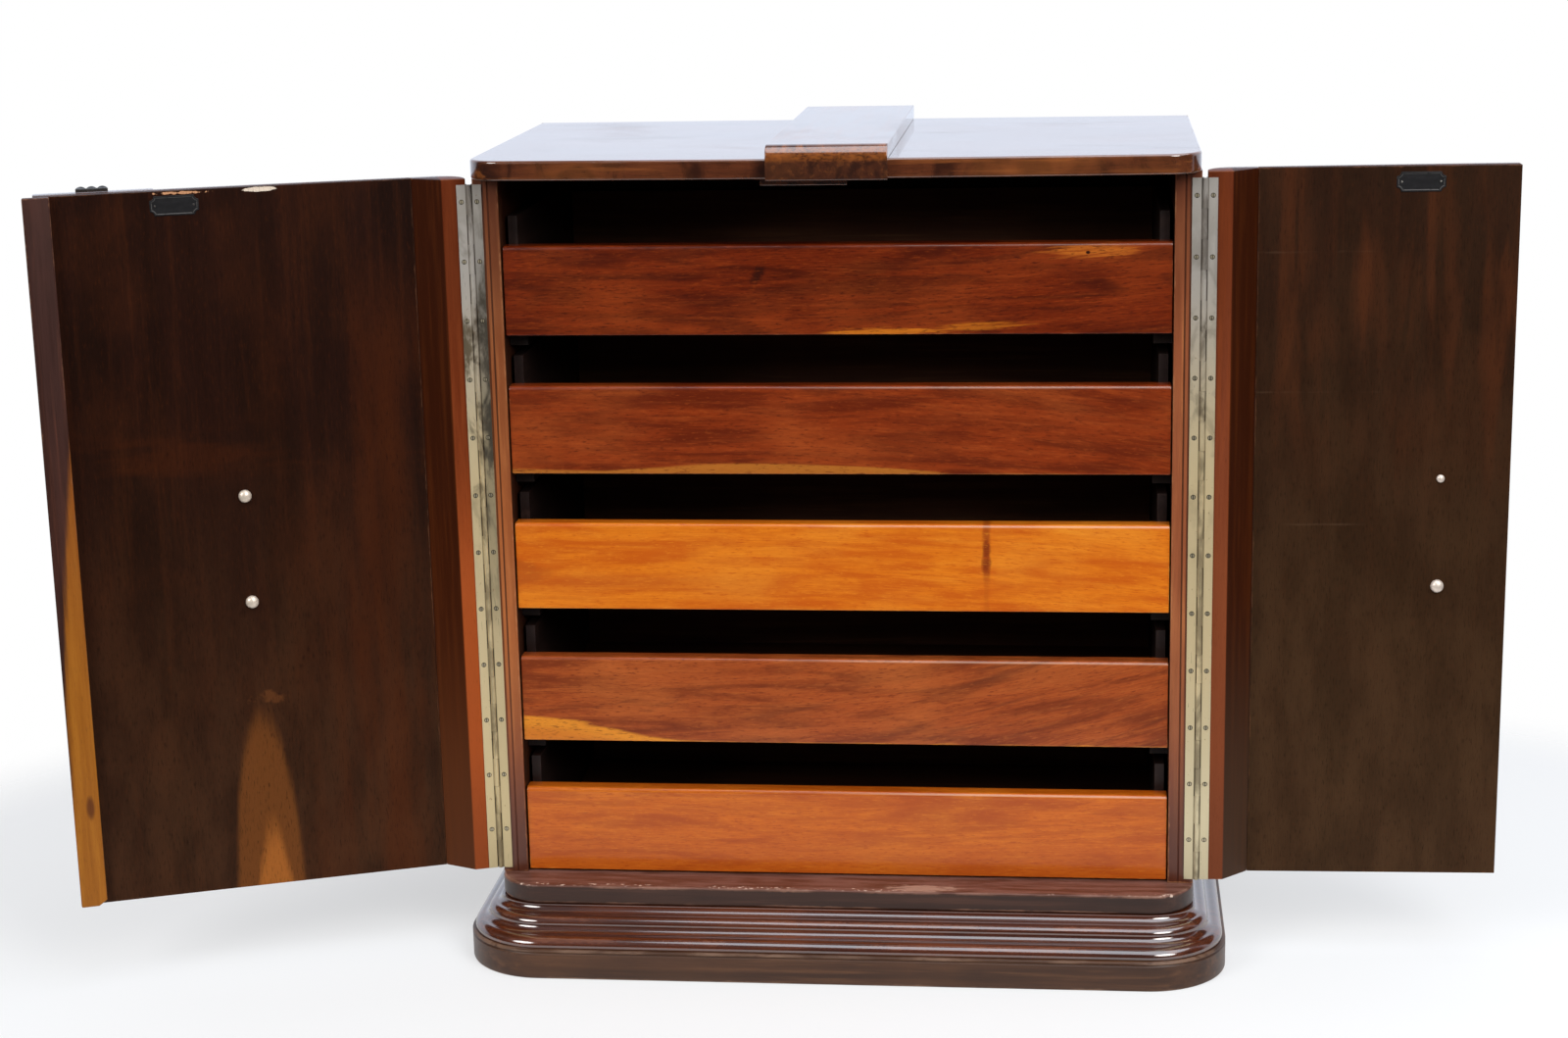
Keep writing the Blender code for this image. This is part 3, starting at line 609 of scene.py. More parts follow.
ebonyLook = dict(
    seed=39, heart=(26, 22, 20), dark=(12, 10, 9), pale=(48, 40, 35), rough=0.36, coat=0.4, coatRough=0.14,
    bare=(80, 62, 50), wear=0.3, reach=0.0008, streakWide=0.003)
doorMid = {-1: 0.20045, 1: 0.15205, "z": 0.3826}    # middles of the panels across, and of the boards up


def paintedFloorLight(b, seed, dark, light):
    # cloudy lighter tone, painted as the light that the floor throws up onto a door's inner face
    cloud = b.point.noise((0.09, 0.03), seed, 4, 0.6).rise(0.36, 0.64)
    return (cloud * 0.7 + b.fibre * 0.4).least(1.0).mix(dark, light)


def leftPanelMarks(b):
    # painted floor light low down, a flame of sapwood rising from the foot, a brighter tongue in it, chips by
    # the top edge and a scuff
    up, across, noise = b.x + doorMid["z"], b.y + doorMid[-1], b.point.noise
    ragged = (noise((0.05, 0.006), 41, 4, 0.6) - 0.5) * 0.5
    b.dab(up.rise(0.55, 0.10) * 0.62, paintedFloorLight(b, 44, (48, 28, 15), (74, 46, 27)))
    warm = noise((0.30, 0.035, 0.03), 46, 3, 0.5).rise(0.42, 0.66)
    band = noise((0.020, 0.12, 0.03), 48, 3, 0.5).rise(0.45, 0.70)
    warm = warm * across.rise(0.20, 0.09) * up.rise(0.66, 0.52)
    band = band * inside((up - 0.465).size() - 0.020, 0.015)
    b.dab(warm * 0.36 + band * 0.20, (84, 36, 9))
    flame = ((across - 0.2002) / 0.0290) ** 2.0 + ((up - 0.070).most(0.0) / 0.160) ** 1.7 + ragged * 0.6
    tongue = ((across - 0.1965) / 0.0150) ** 2.0 + (up - 0.075) / 0.055 + ragged
    b.dab(inside(flame - 1.0, 0.20) * 0.72, (112, 64, 27))
    b.dab(inside(tongue - 0.9, 0.40) * 0.78, (160, 94, 38))
    speck = noise((0.004, 0.006, 0.004), 43, 3, 0.7) - 0.5
    b.dab(oval(across, up, (0.2350, 0.6880), (0.0260, 0.0013), 0.5, 0.15, speck * 4.5) * 0.9, (206, 150, 110))
    b.dab(oval(across, up, (0.1717, 0.6877), (0.0135, 0.0020), 1.0, 0.15, speck * 1.2), (226, 208, 188))
    blot = noise((0.012, 0.012), 45, 3, 0.6) - 0.5
    b.dab(oval(across, up, (0.196, 0.2470), (0.030, 0.0070), 0.1, 0.5, blot * 5.0) * 0.30, (124, 72, 36))
    b.dab(b.z.rise(-0.005, -0.002), outsideWood(b))


def rightPanelMarks(b):
    # painted floor light, strongest low down, reddish figure towards the top, and faint rubbed lines where
    # the trays have touched the door
    up, across, noise = b.x + doorMid["z"], b.y + doorMid[1], b.point.noise
    b.dab(up.rise(0.66, 0.16) * 0.62 + 0.25, paintedFloorLight(b, 55, (52, 34, 19), (70, 48, 29)))
    speck = noise((0.003, 0.02, 0.004), 47, 3, 0.7)
    line = (up - 0.6198).size().least((up - 0.5016).size()).least((up - 0.3874).size())
    line = line + (speck - 0.5) * 0.0025
    broken = noise((0.02, 0.03, 0.02), 49, 2, 0.6).rise(0.42, 0.66)
    figure = noise((0.22, 0.028, 0.03), 53, 3, 0.5, 0.8).rise(0.46, 0.70) * up.rise(0.38, 0.56)
    b.dab(figure * 0.36, (92, 46, 22))
    b.dab(line.rise(0.0012, 0.0002) * across.rise(0.17, 0.12) * broken * 0.12, (120, 92, 70))
    b.dab(b.z.rise(-0.005, -0.002), outsideWood(b))


def postShade(look):
    # the bevel behind the hinge strip and the round outside are darker than the strip; both lighten downwards
    def shade(b):
        x = b.x
        b.dab(x.rise(0.06, 0.26) * 0.6, (86, 35, 12))
        b.dab(x.rise(0.10, -0.07) * 0.75, look["glow"])
        b.dab(x.rise(-0.18, -0.30) * 0.35, (66, 36, 24))
        bevel = (b.streak.rise(0.45, 0.7) * 0.45).mix((48, 18, 5), (82, 37, 10))
        away = (b.y + 0.0009).rise(-0.0008, 0.0008)
        b.dab(away * 0.96, (x.rise(-0.04, -0.26) * 0.7).mix(bevel, look["foot"]))
        b.dab(b.z.rise(0.0065, 0.0095), outsideWood(b))
    return shade


def lipSap(b):
    # yellow sapwood that widens down the lip from its inner edge, with a small dark knot
    up, across = b.x + doorMid["z"], (b.y + 0.011) / 0.022
    ragged = (b.point.noise((0.06, 0.003), 51, 4, 0.6) - 0.5) * 0.35
    reach = 1.0 - ((up - 0.10).most(0.0) / 0.375) ** 2.2
    sap = (b.streak.rise(0.35, 0.7) * 0.6).mix((146, 86, 22), (184, 118, 38))
    sap = (up.rise(0.20, 0.44) * 0.55).mix(sap, (128, 66, 28))
    knot = oval(up, across, (0.165, 0.35), (0.011, 0.16), 0.8, 0.6)
    sap = (knot * 0.8).mix(sap, (84, 40, 18))
    b.dab(inside(across - reach * 1.05 + ragged, 0.12), sap)


def makeDoors(s):
    bevelU, thick = s["bevelU"], panelThick
    slope = 2 * bow / pinX * (1 - bevelU / pinX)
    outer = bowOut(bevelU)
    corners = ((s["postIn"], s["woodGap"]), (s["stripU"], s["woodGap"]), (bevelU, panelIn), (bevelU, outer),
               (s["postIn"], outer - slope * (bevelU - s["postIn"])))
    post = softLoop(corners, s["postRadii"], 14, 0.0001)
    ends = easedEnds(doorLow, doorHigh, 0.0002, 2, 0.0004)
    for (name, side), marks, seed in zip(bothSides, (leftPanelMarks, rightPanelMarks), (21, 57)):
        place, body = onDoor(side), name + "_door"
        look = {**postLook, **postTones[side]}
        finish = woodFinish(name + "PostWalnut", look, postShade(look))
        makeBoard(name + "DoorPost", carried(post, ends), finish, [name + "_door_post"], body,
                  order=(2, 0, 1), place=place)
        loop = softLoop(rectangle(bevelU + seat, s["wide"][side], 0, thick), s["panelRadii"])

        def bowed(q, place=place):
            # thickness stretched so that the front follows the bow
            front = bowOut(q[:, 0]) - panelIn
            return place(rows(q[:, 0], panelIn + q[:, 1] / thick * front, q[:, 2]))
        finish = woodFinish(name + "DoorWalnut", dict(panelLook, seed=seed), marks)
        grid = carried(denser(loop, 0.008), ends)
        makeBoard(name + "DoorPanel", grid, finish, [name + "_door_panel"], body,
                  order=(2, 0, 1), place=bowed)
    makeMeetingEdge(s, onDoor(-1))


def makeMeetingEdge(s, place):
    # band with rounded front edges, following the bow
    last, thick = s["wide"][-1], s["bandThick"] - seat
    loop = softLoop(rectangle(pinX - stripWide / 2, last, 0, thick), s["bandRadii"], 8)
    grid = carried(denser(loop, 0.006), easedEnds(doorLow, doorHigh, s["bandEase"]))

    def onBow(q):
        return place(rows(q[:, 0], bowOut(q[:, 0]) + seat + q[:, 1], q[:, 2]))
    makeBoard("centreBand", grid, woodFinish("bandWalnut", bandLook), ["centre_band"], "left_door",
              order=(2, 0, 1), place=onBow)

    # three arcs side by side that meet in cusps, on a flat root
    half = s["reedWide"] / 6
    dip = math.radians(s["reedDip"])
    radius = half / math.cos(dip)
    root = crown + s["bandThick"] + seat
    t = np.linspace(math.pi - dip, dip, 19)
    middle = pinX + half * np.array(((-2,), (0,), (2,)))
    lobes = rows(middle + radius * np.cos(t), root + s["reedRoot"] + radius * (np.sin(t) - math.sin(dip)))
    foot = ((pinX + s["reedWide"] / 2, root), (pinX - s["reedWide"] / 2, root))
    loop = np.vstack((lobes[0, :1], lobes[:, 1:].reshape(-1, 2), foot))[::-1]
    grid = carried(loop, easedEnds(doorLow, doorHigh + s["reedRise"], s["reedEase"], 2))

    # above the door each round is domed: its height falls with the square of the distance from its middle
    aside = ((grid[..., 0] - pinX + 3 * half) % (2 * half) - half) / half
    grid[..., 2] -= np.maximum(grid[..., 2] - doorHigh, 0) * s["reedDome"] * aside ** 2
    makeBoard("tripleReed", grid, woodFinish("ebonisedReed", ebonyLook), ["triple_reed"], "left_door",
              "ebonised", (2, 0, 1), place)

    # lip behind the meeting edge, its foot cut away at one corner
    end, ease = last + s["lipOver"], s["lipEase"]
    start, outside = end - s["lipWide"], panelIn - seat
    inner = outside - s["lipThick"]
    loop = softLoop(((start + s["lipCutU"], doorLow), (end, doorLow), (end, doorHigh), (start, doorHigh),
                     (start, doorLow + s["lipCutZ"])), s["lipRadius"])
    sine, cosine = quarter(3)
    rounded = rows(ease * (1 - cosine), inner + ease * (1 - sine))
    grid = carried(loop, np.vstack(((0, outside), (0, inner + ease + flatHold), rounded)))
    makeBoard("leftDoorLip", grid, woodFinish("lipWalnut", lipLook, lipSap), ["left_door_lip"], "left_door",
              order=(1, 0, 2), place=lambda q: place(q[:, (0, 2, 1)]))


makeDoors(doorSizes)
print("doors made")

# The tray fronts, each from its own board; tray 5 is the top one
traySizes = dict(
    front=-0.1141, thick=0.016, wide=0.5639, nose=0.0035, ease=0.0010, endEase=0.0008, half=0.03835)


def topTrayMarks(b):
    # pale sapwood in the grain at the foot and by the top right corner, a leaning split knot and a dark dot
    x, y, noise = b.x, b.y, b.point.noise
    ragged = (noise((0.05, 0.0022, 0.003), 81, 4, 0.65) - 0.5) * 4.2
    foot = oval(x, y, (0.045, -0.0375), (0.060, 0.0062), 0.45, 0.55, ragged)
    second = oval(x, y, (0.120, -0.0310), (0.050, 0.0055), 0.30, 0.60, ragged)
    corner = oval(x, y, (0.214, 0.0305), (0.042, 0.0080), 0.45, 0.60, ragged)
    b.dab((foot * 0.80 + second * 0.5).least(1.0), (206, 118, 26))
    b.dab(corner * 0.70, (200, 110, 34))
    split = (noise((0.004, 0.004), 82, 4, 0.7) - 0.5) * 2.0
    eye = (((x + 0.0643 - (y - 0.0131) * 0.35) / 0.0065) ** 2.0 + ((y - 0.0131) / 0.0100) ** 2.0) ** 0.5
    knot = inside(eye + split * 0.8 - 0.75, 0.45)
    dot = oval(x, y, (0.212, 0.0300), (0.0020, 0.0015), 0.8, 0.5)
    b.dab((knot * 0.9).most(dot), (44, 11, 3))


def secondTrayMarks(b):
    # an arched strip of yellow sapwood along the foot
    ragged = (b.point.noise((0.10, 0.004), 84, 3, 0.5) - 0.5) * 0.004
    arch = (0.0092 - ((b.x + 0.060) / 0.155) ** 2.0 * 0.0085).most(b.x.rise(-0.10, -0.30) * 0.0045)
    b.dab(inside(b.y + traySizes["half"] - arch + ragged, 0.0012) * 0.82, (178, 108, 38))


def thirdTrayMarks(b):
    # a dark double knot in an upright crack, a red flame at the left end and a reddish streak low down
    x, y = b.x, b.y
    ragged = b.point.noise((0.008, 0.020, 0.01), 87, 3, 0.6) - 0.5
    line = (x - 0.1270 + ragged * 0.006).size()
    crack = line.rise(0.0050, 0.0010) * y.rise(-0.020, 0.002) * 0.75 + line.rise(0.0040, 0.0012) * 0.22
    high = oval(line, y, (0.0, 0.0150), (0.0040, 0.0130), 0.6, 0.6, ragged * 1.2)
    low = oval(line, y, (0.0, 0.0030), (0.0052, 0.0095), 0.6, 0.6, ragged * 1.2)
    b.dab(crack * 0.8, (146, 60, 14))
    b.dab(high.most(low) * 0.9, (124, 46, 9))
    flame = inside((x + 0.282) / 0.030 + ((y + 0.006) / 0.012) ** 2.0 + ragged * 0.6 - 0.9, 0.4)
    b.dab(flame * 0.65, (164, 76, 22))
    b.dab(inside((y + 0.014).size() - 0.007, 0.006) * x.rise(0.05, -0.20) * 0.45, (176, 80, 24))


def fourthTrayMarks(b):
    # a wedge of yellow sapwood at the left foot, and dark smoky streaks that climb to the right
    x, y, point = b.x, b.y, b.point
    ragged = point.noise((0.08, 0.006), 90, 4, 0.6) - 0.5
    above = y + traySizes["half"] - ((x + 0.282) / 0.165).rise(1.0, 0.0) * 0.0215
    slant = point.node("ShaderNodeMapping", None, {"Vector": point, "Rotation": (0, 0, -0.16)})
    smoke = slant.noise((0.20, 0.014), 92, 4, 0.55, 0.3).rise(0.52, 0.70) * x.rise(-0.20, 0.15)
    left = slant.noise((0.06, 0.008, 0.014), 93, 4, 0.55, 0.3).rise(0.52, 0.68)
    left = left * inside((x + 0.190).size() - 0.05, 0.04) * y.rise(0.02, -0.004)
    b.dab((smoke * 0.60).most(left * 0.6), (84, 38, 20))
    rim = inside(above + 0.009 + ragged * 0.008, 0.006)
    b.dab(inside(above + ragged * 0.008, 0.0016) * 0.90, (rim * 0.6).mix((222, 140, 40), (190, 100, 30)))


def fifthTrayMarks(b):
    # darker towards the foot, with short dark flecks about the middle of the board
    fleck = b.point.noise((0.010, 0.0022, 0.003), 95, 4, 0.65).rise(0.60, 0.74)
    b.dab(b.y.rise(0.010, -0.036) * 0.45, (178, 80, 18))
    b.dab(fleck * b.y.size().rise(0.034, 0.004) * 0.45, (116, 54, 24))


trayCommon = dict(
    rough=0.38, shine=0.2, coat=0.4, coatRough=0.14, bandWide=0.016, bandLong=0.13, warp=1.2,
    streakWide=0.0050, streakLong=0.07, streakShare=0.24, wear=0.5, reach=0.0007, bandShare=0.85,
    fibre=0.4, crest=0.0365, fleck=0.8, cloud=0.4)
# each tray's glow is the share of the painted highlight along its top edge
trayLooks = {
    5: dict(seed=61, heart=(112, 36, 5), dark=(66, 15, 1), pale=(156, 66, 16), sweep=0.10, glow=0.05,
            marks=topTrayMarks),
    4: dict(seed=64, heart=(134, 50, 13), dark=(90, 27, 5), pale=(172, 82, 30), sweep=-0.15, glow=0.20,
            marks=secondTrayMarks),
    3: dict(seed=67, heart=(216, 118, 22), dark=(190, 84, 12), pale=(232, 148, 44), sweep=-0.12, glow=0.35,
            marks=thirdTrayMarks),
    2: dict(seed=71, heart=(160, 74, 29), dark=(108, 42, 14), pale=(190, 104, 46), sweep=0.35, glow=0.25,
            marks=fourthTrayMarks),
    1: dict(seed=74, heart=(196, 97, 16), dark=(162, 68, 8), pale=(216, 126, 34), sweep=0.04, glow=0.40,
            marks=fifthTrayMarks),
}


def makeTrayFronts(s):
    front, ease = s["front"], s["ease"]
    ends = easedEnds(-s["wide"] / 2, s["wide"] / 2, s["endEase"])
    for number, look in trayLooks.items():
        low, high = (corner.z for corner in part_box(f"tray_{number}_front"))
        loop = softLoop(rectangle(front, front + s["thick"], low, high), (ease, ease, ease, s["nose"]), 9)
        bare = tuple(min(255, part + 60) for part in look["pale"])
        finish = woodFinish(f"trayCedar{number}", {**trayCommon, "bare": bare, **look}, look["marks"])
        makeBoard(f"trayFront{number}", carried(loop, ends), finish, [f"tray_{number}_front"],
                  f"tray_{number}", "cedar", (2, 1, 0), alongX)


makeTrayFronts(traySizes)
print("tray fronts made")

# Plain boards that stay as the frame has them, with their grain along the longest side
traySideLook = dict(
    seed=101, heart=(36, 24, 21), dark=(24, 15, 13), pale=(54, 37, 32), rough=0.46, shine=0.3)
trayFloorLook = dict(
    seed=103, heart=(104, 62, 38), dark=(72, 40, 23), pale=(132, 86, 56), rough=0.55, shine=0.25)
runnerLook = dict(seed=105, heart=(28, 18, 14), dark=(18, 11, 8), pale=(44, 30, 22), rough=0.6, shine=0.2)
backLook = dict(
    seed=109, heart=(74, 48, 32), dark=(50, 32, 21), pale=(100, 68, 46), rough=0.62, shine=0.25,
    bandWide=0.05, bandLong=0.8)
alongGrain = {"x": (0, 0, 0), "y": (0, 0, math.pi / 2), "z": (0, math.pi / 2, 0)}


def dress(node, finish):
    node.data.materials.clear()
    node.data.materials.append(finish)


def dressBoards():
    finishes = {kind: woodFinish(name, look, None, alongGrain[axis]) for kind, name, look, axis in (
        ("side", "traySideWood", traySideLook, "y"), ("floor", "trayFloorWood", trayFloorLook, "x"),
        ("back", "trayBackWood", dict(trayFloorLook, seed=104), "x"),
        ("runner", "runnerWood", runnerLook, "y"), ("panel", "backPanelWood", backLook, "z"))}
    for name, node in nodes.items():
        kind = "runner" if name.startswith("runner") else name.rsplit("_", 1)[1]
        if name.startswith(("tray", "runner", "back_panel")) and kind in finishes:
            dress(node, finishes[kind])


dressBoards()
print("plain boards dressed")

# Metal: hinges, pins, pulls, bolts and screws
nickelLook = dict(
    bright=(210, 196, 160), cream=(204, 184, 140), sheen=(230, 208, 162), silver=(194, 187, 178),
    tarnishAndReflection=(108, 94, 72), grimeAndShade=(58, 42, 24), darkLeftLeaf=(82, 76, 66), rust=(128, 78, 36), rough=0.30, metal=0.45,
    spots=0.5, tarnishAndShading=1.0)


def nickelFinish(name, look):
    # bright metal with painted sheen above the foot and silver towards the top, clouded in patches by tarnish
    # and painted reflection, with rust spots, darker at the foot, painted shade by the knuckles and a darker
    # left case leaf
    material, w, shader = newFinish(name, {"Specular IOR Level": 0.5})
    b, tarnishAndShading = Surface(w.metres(), look["cream"]), look["tarnishAndShading"]
    x, z = b.x, b.z
    patch = b.point.noise((0.020, 0.020, 0.045), 3, 4, 0.62, 0.4)
    grain = b.point.noise((0.0012, 0.0012, 0.02), 7, 2, 0.5)
    spot = b.point.noise((0.0035, 0.0035, 0.005), 11, 3, 0.7)
    # patches darkened partly by tarnish and partly as painted reflection
    tarnishAndReflection = patch.rise(0.46, 0.62) * z.rise(0.32, 0.52) * z.rise(0.70, 0.57) * x.rise(0.65, -0.10) * tarnishAndShading
    b.dab(x.rise(-0.1, 0.1), look["bright"])
    # painted sheen above the foot, then silver towards the top
    b.dab(z.rise(0.12, 0.30) * tarnishAndShading, look["sheen"])
    b.dab(z.rise(0.42, 0.63) * tarnishAndShading, look["silver"])
    b.dab(tarnishAndReflection * 0.95, look["tarnishAndReflection"])
    darkLeftLeaf = x.rise(-0.3056, -0.3050) * x.rise(-0.2900, -0.2960) * z.rise(0.24, 0.42) * z.rise(0.70, 0.57)
    b.dab(darkLeftLeaf * tarnishAndShading * (0.50 + patch.rise(0.40, 0.60) * 0.4), look["darkLeftLeaf"])
    b.dab(z.rise(0.14, 0.07) * 0.2 * tarnishAndShading, look["grimeAndShade"])
    rusty = spot.rise(0.66, 0.72) * look["spots"]
    b.dab(rusty, look["rust"])
    # painted shade in the crease beside each knuckle, and in patches on the knuckles
    across, away = x.size() - pinX, b.y - pinY
    out = (across * across + away * away) ** 0.5
    root = out.rise(0.0023, 0.0025) * out.rise(0.0032, 0.0027)
    knuckleShade = (root * 0.85 + out.rise(0.0025, 0.0022) * patch.rise(0.35, 0.60) * 0.6) * tarnishAndShading
    b.dab(knuckleShade, look["grimeAndShade"])
    metal = look["metal"] + tarnishAndReflection * 0.3 - rusty * 0.4
    rough = look["rough"] + tarnishAndReflection * 0.16 + (grain - 0.5) * 0.12 + rusty * 0.2 + knuckleShade * 0.2
    w.feed(shader, {"Base Color": b.colour, "Metallic": metal, "Roughness": rough})
    return material


hingeNickel = nickelFinish("hingeNickel", nickelLook)
for hingePart in ("case_leaf", "door_leaf", "hinge_pin"):
    for doorName, _ in bothSides:
        dress(nodes[f"{doorName}_{hingePart}"], hingeNickel)


def turnedShape(profile, steps):
    # profile of (radius, height) spun about the height axis, both ends on the axis
    p = np.asarray(profile, float)
    t = np.linspace(0, 2 * math.pi, steps, endpoint=False)
    radius, height = p[1:-1, 0, None], p[1:-1, 1, None]
    ring = rows(radius * np.cos(t), radius * np.sin(t), height).reshape(-1, 3)
    points = np.vstack(((0, 0, p[0, 1]), ring, (0, 0, p[-1, 1])))
    j = np.arange(steps)
    k, final = (j + 1) % steps, len(points) - 1
    caps = np.vstack((rows(0, k + 1, j + 1), rows(final, final - steps + j, final - steps + k)))
    return points, [ringQuads(len(p) - 2, steps) + 1, caps]


def repeated(points, groups, spots):
    # one shape set down at every spot
    shift = np.arange(len(spots))[:, None, None] * len(points)
    many = (points + np.asarray(spots, float)[:, None]).reshape(-1, 3)
    return many, [(shift + group).reshape(-1, group.shape[1]) for group in groups]


# Hinge screws, two inches apart, level on both leaves
screwSizes = dict(
    radius=0.0021, proud=0.00013, sunk=0.00015, out=0.0066, first=0.1118, apart=0.0508, count=12)


def screwFinish():
    # flat head with a dark slot and a dark ring where it sits in its hole
    material, w, shader = newFinish("screwNickel", {"Metallic": 0.8})
    x, y, _ = w.kept("grain").parts()
    away = (x * x + y * y) ** 0.5
    shadow = away.rise(0.00135, 0.00170).most(x.size().rise(0.00040, 0.00022))
    colour = shadow.mix((196, 184, 156), (44, 36, 26))
    w.feed(shader, {"Base Color": colour, "Roughness": 0.36 + shadow * 0.3})
    return material


def makeScrews(s):
    r, h = s["radius"], s["proud"]
    profile = ((0, h), (r * 0.30, h), (r * 0.62, h), (r * 0.86, h * 0.6), (r, 0.0), (r * 0.9, -h), (0, -h))
    points, faces = turnedShape(profile, 14)
    spots = rows(s["out"], 0.0, s["first"] + s["apart"] * np.arange(s["count"]))
    many, faces = repeated(points[:, (0, 2, 1)], faces, spots)        # axis turned to stand out of the leaf
    many = many * (1, -1, 1) + (0, s["sunk"], 0)
    marks = {"grain": np.tile(points, (len(spots), 1))}
    finish, rest = screwFinish(), ("nickel", (), marks, 0, 50)
    for name, side in bothSides:
        putPiece(name + "CaseScrews", onCase(side)(many), faces, finish, "case", *rest)
        putPiece(name + "DoorScrews", onDoor(side)(many), faces, finish, name + "_door", *rest)


makeScrews(screwSizes)

# A thin dark half-round bead behind the knuckles on each side of them, so that no light shows through the
# hinge;
# its dark tone stands in for the shade in the hinge's gap
beadSizes = dict(radius=0.0013, edge=0.0024, deep=0.0036, low=0.0755, high=0.6851, ease=0.0003)
shadeBeadLook = dict(seed=113, heart=(30, 18, 11), dark=(18, 10, 6), pale=(48, 30, 18), rough=0.6, shine=0.15)


def makeBeads(s):
    t = np.linspace(-math.pi / 2, math.pi / 2, 13)
    loop = rows(s["edge"] - s["radius"] * np.cos(t), s["deep"] + s["radius"] * np.sin(t))
    grid = carried(loop, easedEnds(s["low"], s["high"], s["ease"], 2, 0.0002))
    finish = woodFinish("shadeBeadWood", shadeBeadLook)
    for name, side in bothSides:
        makeBoard(name + "CaseBead", grid, finish, order=(2, 0, 1), place=onCase(side))
        makeBoard(name + "DoorBead", grid, finish, (), name + "_door", order=(2, 0, 1), place=onDoor(side))


makeBeads(beadSizes)

# Bolts of the pulls, inside the doors, and the pulls themselves
pullSizes = dict(
    u=0.201, z=0.3803, apart=0.0935, out=0.026, wide=0.012, thick=0.008, bend=0.010, flare=0.22,
    flareOut=0.0022, boltRadius=0.0055, boltHigh=0.0048)
pullLook = dict(
    nickelLook, bright=(222, 216, 206), cream=(222, 216, 206), rough=0.20, metal=0.88, spots=0.15,
    tarnishAndShading=0.0)
boltLook = dict(
    nickelLook, bright=(226, 210, 196), cream=(222, 206, 188), rough=0.36, metal=0.35, spots=0.15,
    tarnishAndShading=0.0)


def domeProfile(radius, high, deep=0.0002):
    # a short upright rim and a dome of quarter-ellipse section over it
    sine, cosine = quarter(8)
    dome = rows(radius * cosine, high * 0.25 + high * 0.75 * sine)[-2::-1]
    return np.vstack(((0, high), dome, (radius, 0.0), (radius * 0.96, -deep), (0, -deep)))


def makePulls(s):
    u, bend, foot = s["u"], s["bend"], bowOut(s["u"]) + seat
    crest = foot + s["out"]
    low, high = s["z"] - s["apart"] / 2, s["z"] + s["apart"] / 2
    sine, cosine = quarter(12)
    leave = rows(np.linspace(foot, crest - bend, 7)[:-1], low)
    rise = np.vstack((leave, rows(crest - bend * (1 - sine), low + bend * (1 - cosine))))
    path = np.vstack((rise, rise[::-1] * (1, -1) + (0, low + high)))
    ahead = unit(np.gradient(path, axis=0))
    turn = np.linspace(0, 2 * math.pi, 28, endpoint=False)
    flare = 1 + s["flare"] * np.exp(-(path[:, :1] - foot) / s["flareOut"])
    across = flare * s["wide"] / 2 * np.cos(turn)
    away = flare * s["thick"] / 2 * np.sin(turn)
    grid = rows(u + across, path[:, :1] + away * ahead[:, 1:], path[:, 1:] - away * ahead[:, :1])
    brightNickel, boltNickel = nickelFinish("brightNickel", pullLook), nickelFinish("boltNickel", boltLook)
    for name, side in bothSides:
        body = name + "_door"
        putPiece(name + "Pull", onDoor(side)(grid.reshape(-1, 3)), skinFaces(grid), brightNickel, body,
                 "nickel", [name + "_door_pull"], None, 2)
        for number, height in ((1, high), (2, low)):
            capless = side == 1 and number == 1            # this one has lost its cap
            radius, tall = (0.62, 0.6) if capless else (1, 1)
            points, faces = turnedShape(domeProfile(s["boltRadius"] * radius, s["boltHigh"] * tall), 28)
            points = onInnerFace(side, u, height)(points)
            putPiece(f"{name}Bolt{number}", points, faces, boltNickel, body, "nickel", crease=40)


makePulls(pullSizes)
print("metal made")

# Bare name plates by the doors' top edges
plateSizes = dict(
    wide=0.0400, high=0.0165, notch=0.0036, thick=0.0005, pinIn=0.0042, pinRadius=0.0009, pinHigh=0.0006,
    spots={-1: (0.2424, 0.6778), 1: (0.1774, 0.6772)})
pinLook = dict(nickelLook, bright=(120, 116, 108), cream=(66, 62, 58), rough=0.4, tarnishAndShading=0.0)


def plateFinish():
    # dark enamel with a worn metal line set in from the edge
    material, w, shader = newFinish("plateEnamel", {"Specular IOR Level": 0.25})
    b = Surface(w.kept("grain"), (17, 16, 18))
    worn = b.point.noise((0.006, 0.004), 5, 4, 0.65)
    line = inside((b.z - 0.00155).size() - 0.00032, 0.00012) * worn.rise(0.25, 0.50)
    b.dab(worn.rise(0.40, 0.75) * 0.5, (34, 32, 34))
    b.dab(line * 0.6, (112, 110, 108))
    w.feed(shader, {"Base Color": b.colour, "Metallic": line * 0.8, "Roughness": 0.42 + worn * 0.2})
    return material


def makePlates(s):
    # rectangle whose corners are hollowed by quarter circles about the corner points
    sine, cosine = quarter(8)
    w, h, thick = s["wide"] / 2, s["high"] / 2, s["thick"]
    floor = thick * 0.75                                   # sunk within the raised edge
    arc = s["notch"] * rows(cosine, sine)
    first, second = arc[::-1] + (-w, -h), arc * (-1, 1) + (w, -h)    # from the left side round to the foot
    loop = np.vstack((first, second, -first, -second))
    levels = np.array(((0.0, 0.0), (0.0, thick * 0.7), (0.0002, thick), (0.0009, thick), (0.0013, floor),
                       (0.0024, floor)))
    grid = carried(loop, levels)
    flat = grid.reshape(-1, 3)
    marks = {"grain": rows(flat[:, 0], flat[:, 1], np.repeat(levels[:, 0], len(loop)))}
    finish, pinNickel = plateFinish(), nickelFinish("pinNickel", pinLook)
    ends = ((s["pinIn"] - w, 0, floor), (w - s["pinIn"], 0, floor))
    pins, pinFaces = repeated(*turnedShape(domeProfile(s["pinRadius"], s["pinHigh"]), 12), ends)
    for name, side in bothSides:
        place, body = onInnerFace(side, *s["spots"][side]), name + "_door"
        putPiece(name + "Plate", place(flat), skinFaces(grid), finish, body, "nickel", (), marks, 2, 40)
        putPiece(name + "PlatePins", place(pins), pinFaces, pinNickel, body, "nickel", crease=40)


makePlates(plateSizes)
print("plates made")

